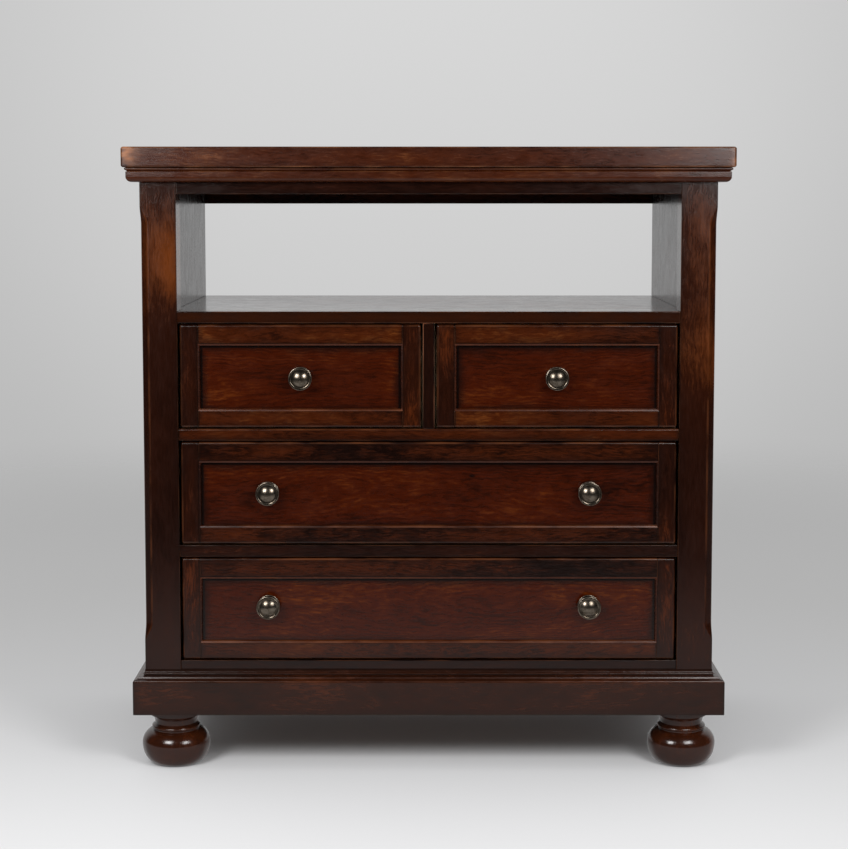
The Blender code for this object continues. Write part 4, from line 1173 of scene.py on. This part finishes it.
def loop_faces(rings):
    """Joins every ring to the next and the last to the first, so nothing has to be closed."""
    grid = np.arange(rings.shape[0] * rings.shape[1]).reshape(rings.shape[:2])
    beside = np.roll(grid, -1, axis=1)
    quads = np.stack([grid, beside, np.roll(beside, -1, axis=0), np.roll(grid, -1, axis=0)], axis=-1)
    return quads.reshape(-1, 4).tolist()


print("bead", STICK, "m wide")

# %% [markdown]
# The frame's four boards are one table, since they differ only in size, grain and the edge
# that is rounded. Outer edges are rounded more than inner ones, so they catch the light. Each
# board has a tone of its own, a little darker or lighter than its neighbours. The panel's
# glaze box is smaller than its window at the sides and top and larger at the base, so it
# also paints the shadow that the frame throws on the panel.

# %% Framed fronts
# painted shadow of the frame on the panel: more at the sides and top, none at the base
SHADE_IN = 0.0018            # the frame's shadow adds to the glaze on three sides of the panel
SHADE_OUT = 0.0045           # and takes from it at the base
OUTER_ROUND, JOINT_ROUND = 0.0040, 0.0008
BACK_SET = 0.0001            # the frame lies behind the bead's front edge by this
# tones of the panel, the upper and lower rail, and the left and right stile
FRONT_TONES = {
    "top_left_drawer": (0.0, 0.12, -0.04, 0.05, 0.30),
    "top_right_drawer": (-0.12, -0.06, 0.0, 0.14, 0.08),
    "middle_drawer": (-0.13, -0.42, -0.30, -0.05, 0.02),
    "bottom_drawer": (0.02, -0.42, -0.05, 0.18, 0.12),
}
KNOTS = {"middle_drawer": (0.0768, -0.231, 0.5275)}


def add_drawer_front(drawer):
    """Stiles, rails, bead and panel in the box of one CAD drawer front."""
    solid = drawer + "_front"
    (x0, y0, z0), (x1, y1, z1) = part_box(solid)
    flat = FRAME_WIDE - STICK
    left, right, base, top = x0 + flat, x1 - flat, z0 + flat - SINK, z1 - flat - SINK
    field_tone, top_tone, base_tone, left_tone, right_tone = FRONT_TONES[drawer]
    # name, finish, direction of the grain, ease of the ends, outline, rounded edge, tone
    boards = (
        ("stile_left", "stile", "z", OUTER_ROUND, (x0, left, z0, z1), 0, left_tone),
        ("stile_right", "stile", "z", OUTER_ROUND, (right, x1, z0, z1), 1, right_tone),
        ("rail_top", "rail", "x", JOINT_ROUND, (left, right, top, z1), 3, top_tone),
        ("rail_base", "rail", "x", JOINT_ROUND, (left, right, z0, base), 0, base_tone),
    )
    for word, finish, axis, ease, (a, b, c, d), outer, tone in boards:
        box = ((a, y0 + BACK_SET, c), (b, y1, d))
        radii = [OUTER_ROUND if edge == outer else JOINT_ROUND for edge in range(4)]
        # the upper rail's edges get full rubbed colour: wear, and partly a painted highlight along the top
        # edge
        rub = 1.0 if word == "rail_top" else BOARD_RUB
        wiped = (box[0], np.add(box[1], WIPED)) if word == "rail_base" else None
        board(f"{drawer}_{word}", solid, finish, axis, ease, box, radii, tone, rub=rub, glaze_and_shadow_box=wiped)
    left, right, base, top = left + STICK, right - STICK, base + STICK, top - STICK
    rings, runs = bead_ring(((left, right), (base, top)), y0)
    # painted highlight on the bead's lower run and painted shade on its sides
    rub = [BEAD_PAINTED_HIGHLIGHT[run] for run in runs]
    tone = [base_tone + BEAD_PAINTED_LIGHT_AND_SHADE[run] for run in runs]
    add_piece(drawer + "_bead", rings, rub, "bead", solid, tone, crease=20, faces=loop_faces(rings))
    panel_low, panel_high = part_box(drawer + "_panel")
    # the panel's glaze box, shrunk so that it paints the frame's shadow on the panel
    glaze_and_shadow_box = ((left + SHADE_IN, panel_low[1], base - SHADE_OUT),
                 (right - SHADE_IN, panel_high[1], top - SHADE_IN))
    field = board(drawer + "_field", drawer + "_panel", "panel", "x", PANEL_EASE, tone=field_tone,
                  glaze_and_shadow_box=glaze_and_shadow_box)
    set_values(field.data, "knot", KNOTS.get(drawer, (0.0, 0.0, 0.0)))


DRAWERS = [body for body in frame["bodies"] if body != "case"]
for drawer in DRAWERS:
    add_drawer_front(drawer)
print("framed fronts", DRAWERS)

# %% [markdown]
# ## Drawer boxes
# Behind each front is a plain box: two sides, a sub-front and a back. The sides' top edges
# are rounded where hands reach in. The bottom is a thin board in a groove.

# %% Boxes
SOFT_TOP, PLAIN_EDGE = 0.0035, 0.0005
BOX_EDGES = (PLAIN_EDGE, PLAIN_EDGE, SOFT_TOP, SOFT_TOP)
END_DROP = 0.001              # the sub-front and the back are this much lower than the sides
for drawer in DRAWERS:
    solid = drawer + "_box"
    (x0, y0, z0), (x1, y1, z1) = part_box(solid)
    FINISHES[solid] = bare_wood(drawer + " side", "y", *PALE, joints=(y0, y1))
    for word, a, b in (("left", x0, x0 + WALL), ("right", x1 - WALL, x1)):
        box = ((a, y0, z0), (b, y1, z1))
        board(f"{drawer}_side_{word}", solid, solid, "y", PLAIN_EDGE, box, BOX_EDGES, depth_axis=0)
    for word, a, b in (("subfront", y0, y0 + WALL), ("rear", y1 - WALL, y1)):
        box = ((x0 + WALL, a, z0), (x1 - WALL, b, z1 - END_DROP))
        board(f"{drawer}_{word}", solid, "box_x", "x", PLAIN_EDGE, box, BOX_EDGES)
print("boxes for", len(DRAWERS), "drawers")

# %% [markdown]
# ## Parts behind the drawers
# The web frames, guides and drawer bottoms are plain boards in real life too, so their CAD
# solids stay as they are and only get bare wood.

# %% CAD solids that stay
STAY = {
    "box_x": ["dust_frame_upper", "dust_frame_lower"],
    "box_y": ["centre_partition", "drawer_guide_left", "drawer_guide_right"],
    "ply": [drawer + "_bottom" for drawer in DRAWERS],
    "back": ["dust_frame_bottom"],
}
for finish, solids in STAY.items():
    for solid in solids:
        frame["nodes"][solid].data.materials.clear()
        frame["nodes"][solid].data.materials.append(FINISHES[finish])
print("CAD solids shown:", sum(len(solids) for solids in STAY.values()))

# %% [markdown]
# ## Back panel
# A thin board closes the back behind the drawers, and small screws hold it along its edges.
# A screw head is a low dome with a short skirt, turned like the feet. All the heads are one
# mesh: one head's points are worked out once for every place, and its faces are counted on.

# %% Back panel and screws
SCREW, SCREW_HIGH, SCREW_SKIRT, SCREW_INSET = 0.0038, 0.0009, 0.0012, 0.014
low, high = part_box("back_panel")
high = np.array(high) - (0.0, SCREW_HIGH, 0.0)
board("back_sheet", "back_panel", "back", "x", PLAIN_EDGE, (low, high))
across = np.linspace(low[0] + SCREW_INSET, high[0] - SCREW_INSET, 6)
upward = np.linspace(low[2] + SCREW_INSET, high[2] - SCREW_INSET, 4)
places = [(x, z) for x in across for z in upward if x in across[[0, -1]] or z in upward[[0, -1]]]
screw_profile = np.concatenate([[(SCREW, -SCREW_SKIRT)], arc((0.0, 0.0), (SCREW, SCREW_HIGH), 0, 86, 5)])
screws = np.array([turned(screw_profile * (1, -1), (x, high[1], z), "y", 12) for x, z in places])
heads, levels, round_count = screws.shape[:3]
shift = levels * round_count * np.arange(heads)[:, None, None]
*quads, first_end, last_end = skin(screws[0])
faces = (np.array(quads) + shift).reshape(-1, 4).tolist()
starts = shift.ravel().tolist()
faces += [[start + point for point in end] for start in starts for end in (first_end, last_end)]
add_piece("back_screws", screws, 0.6, "zinc", "back_panel", faces=faces)
print(heads, "screws")
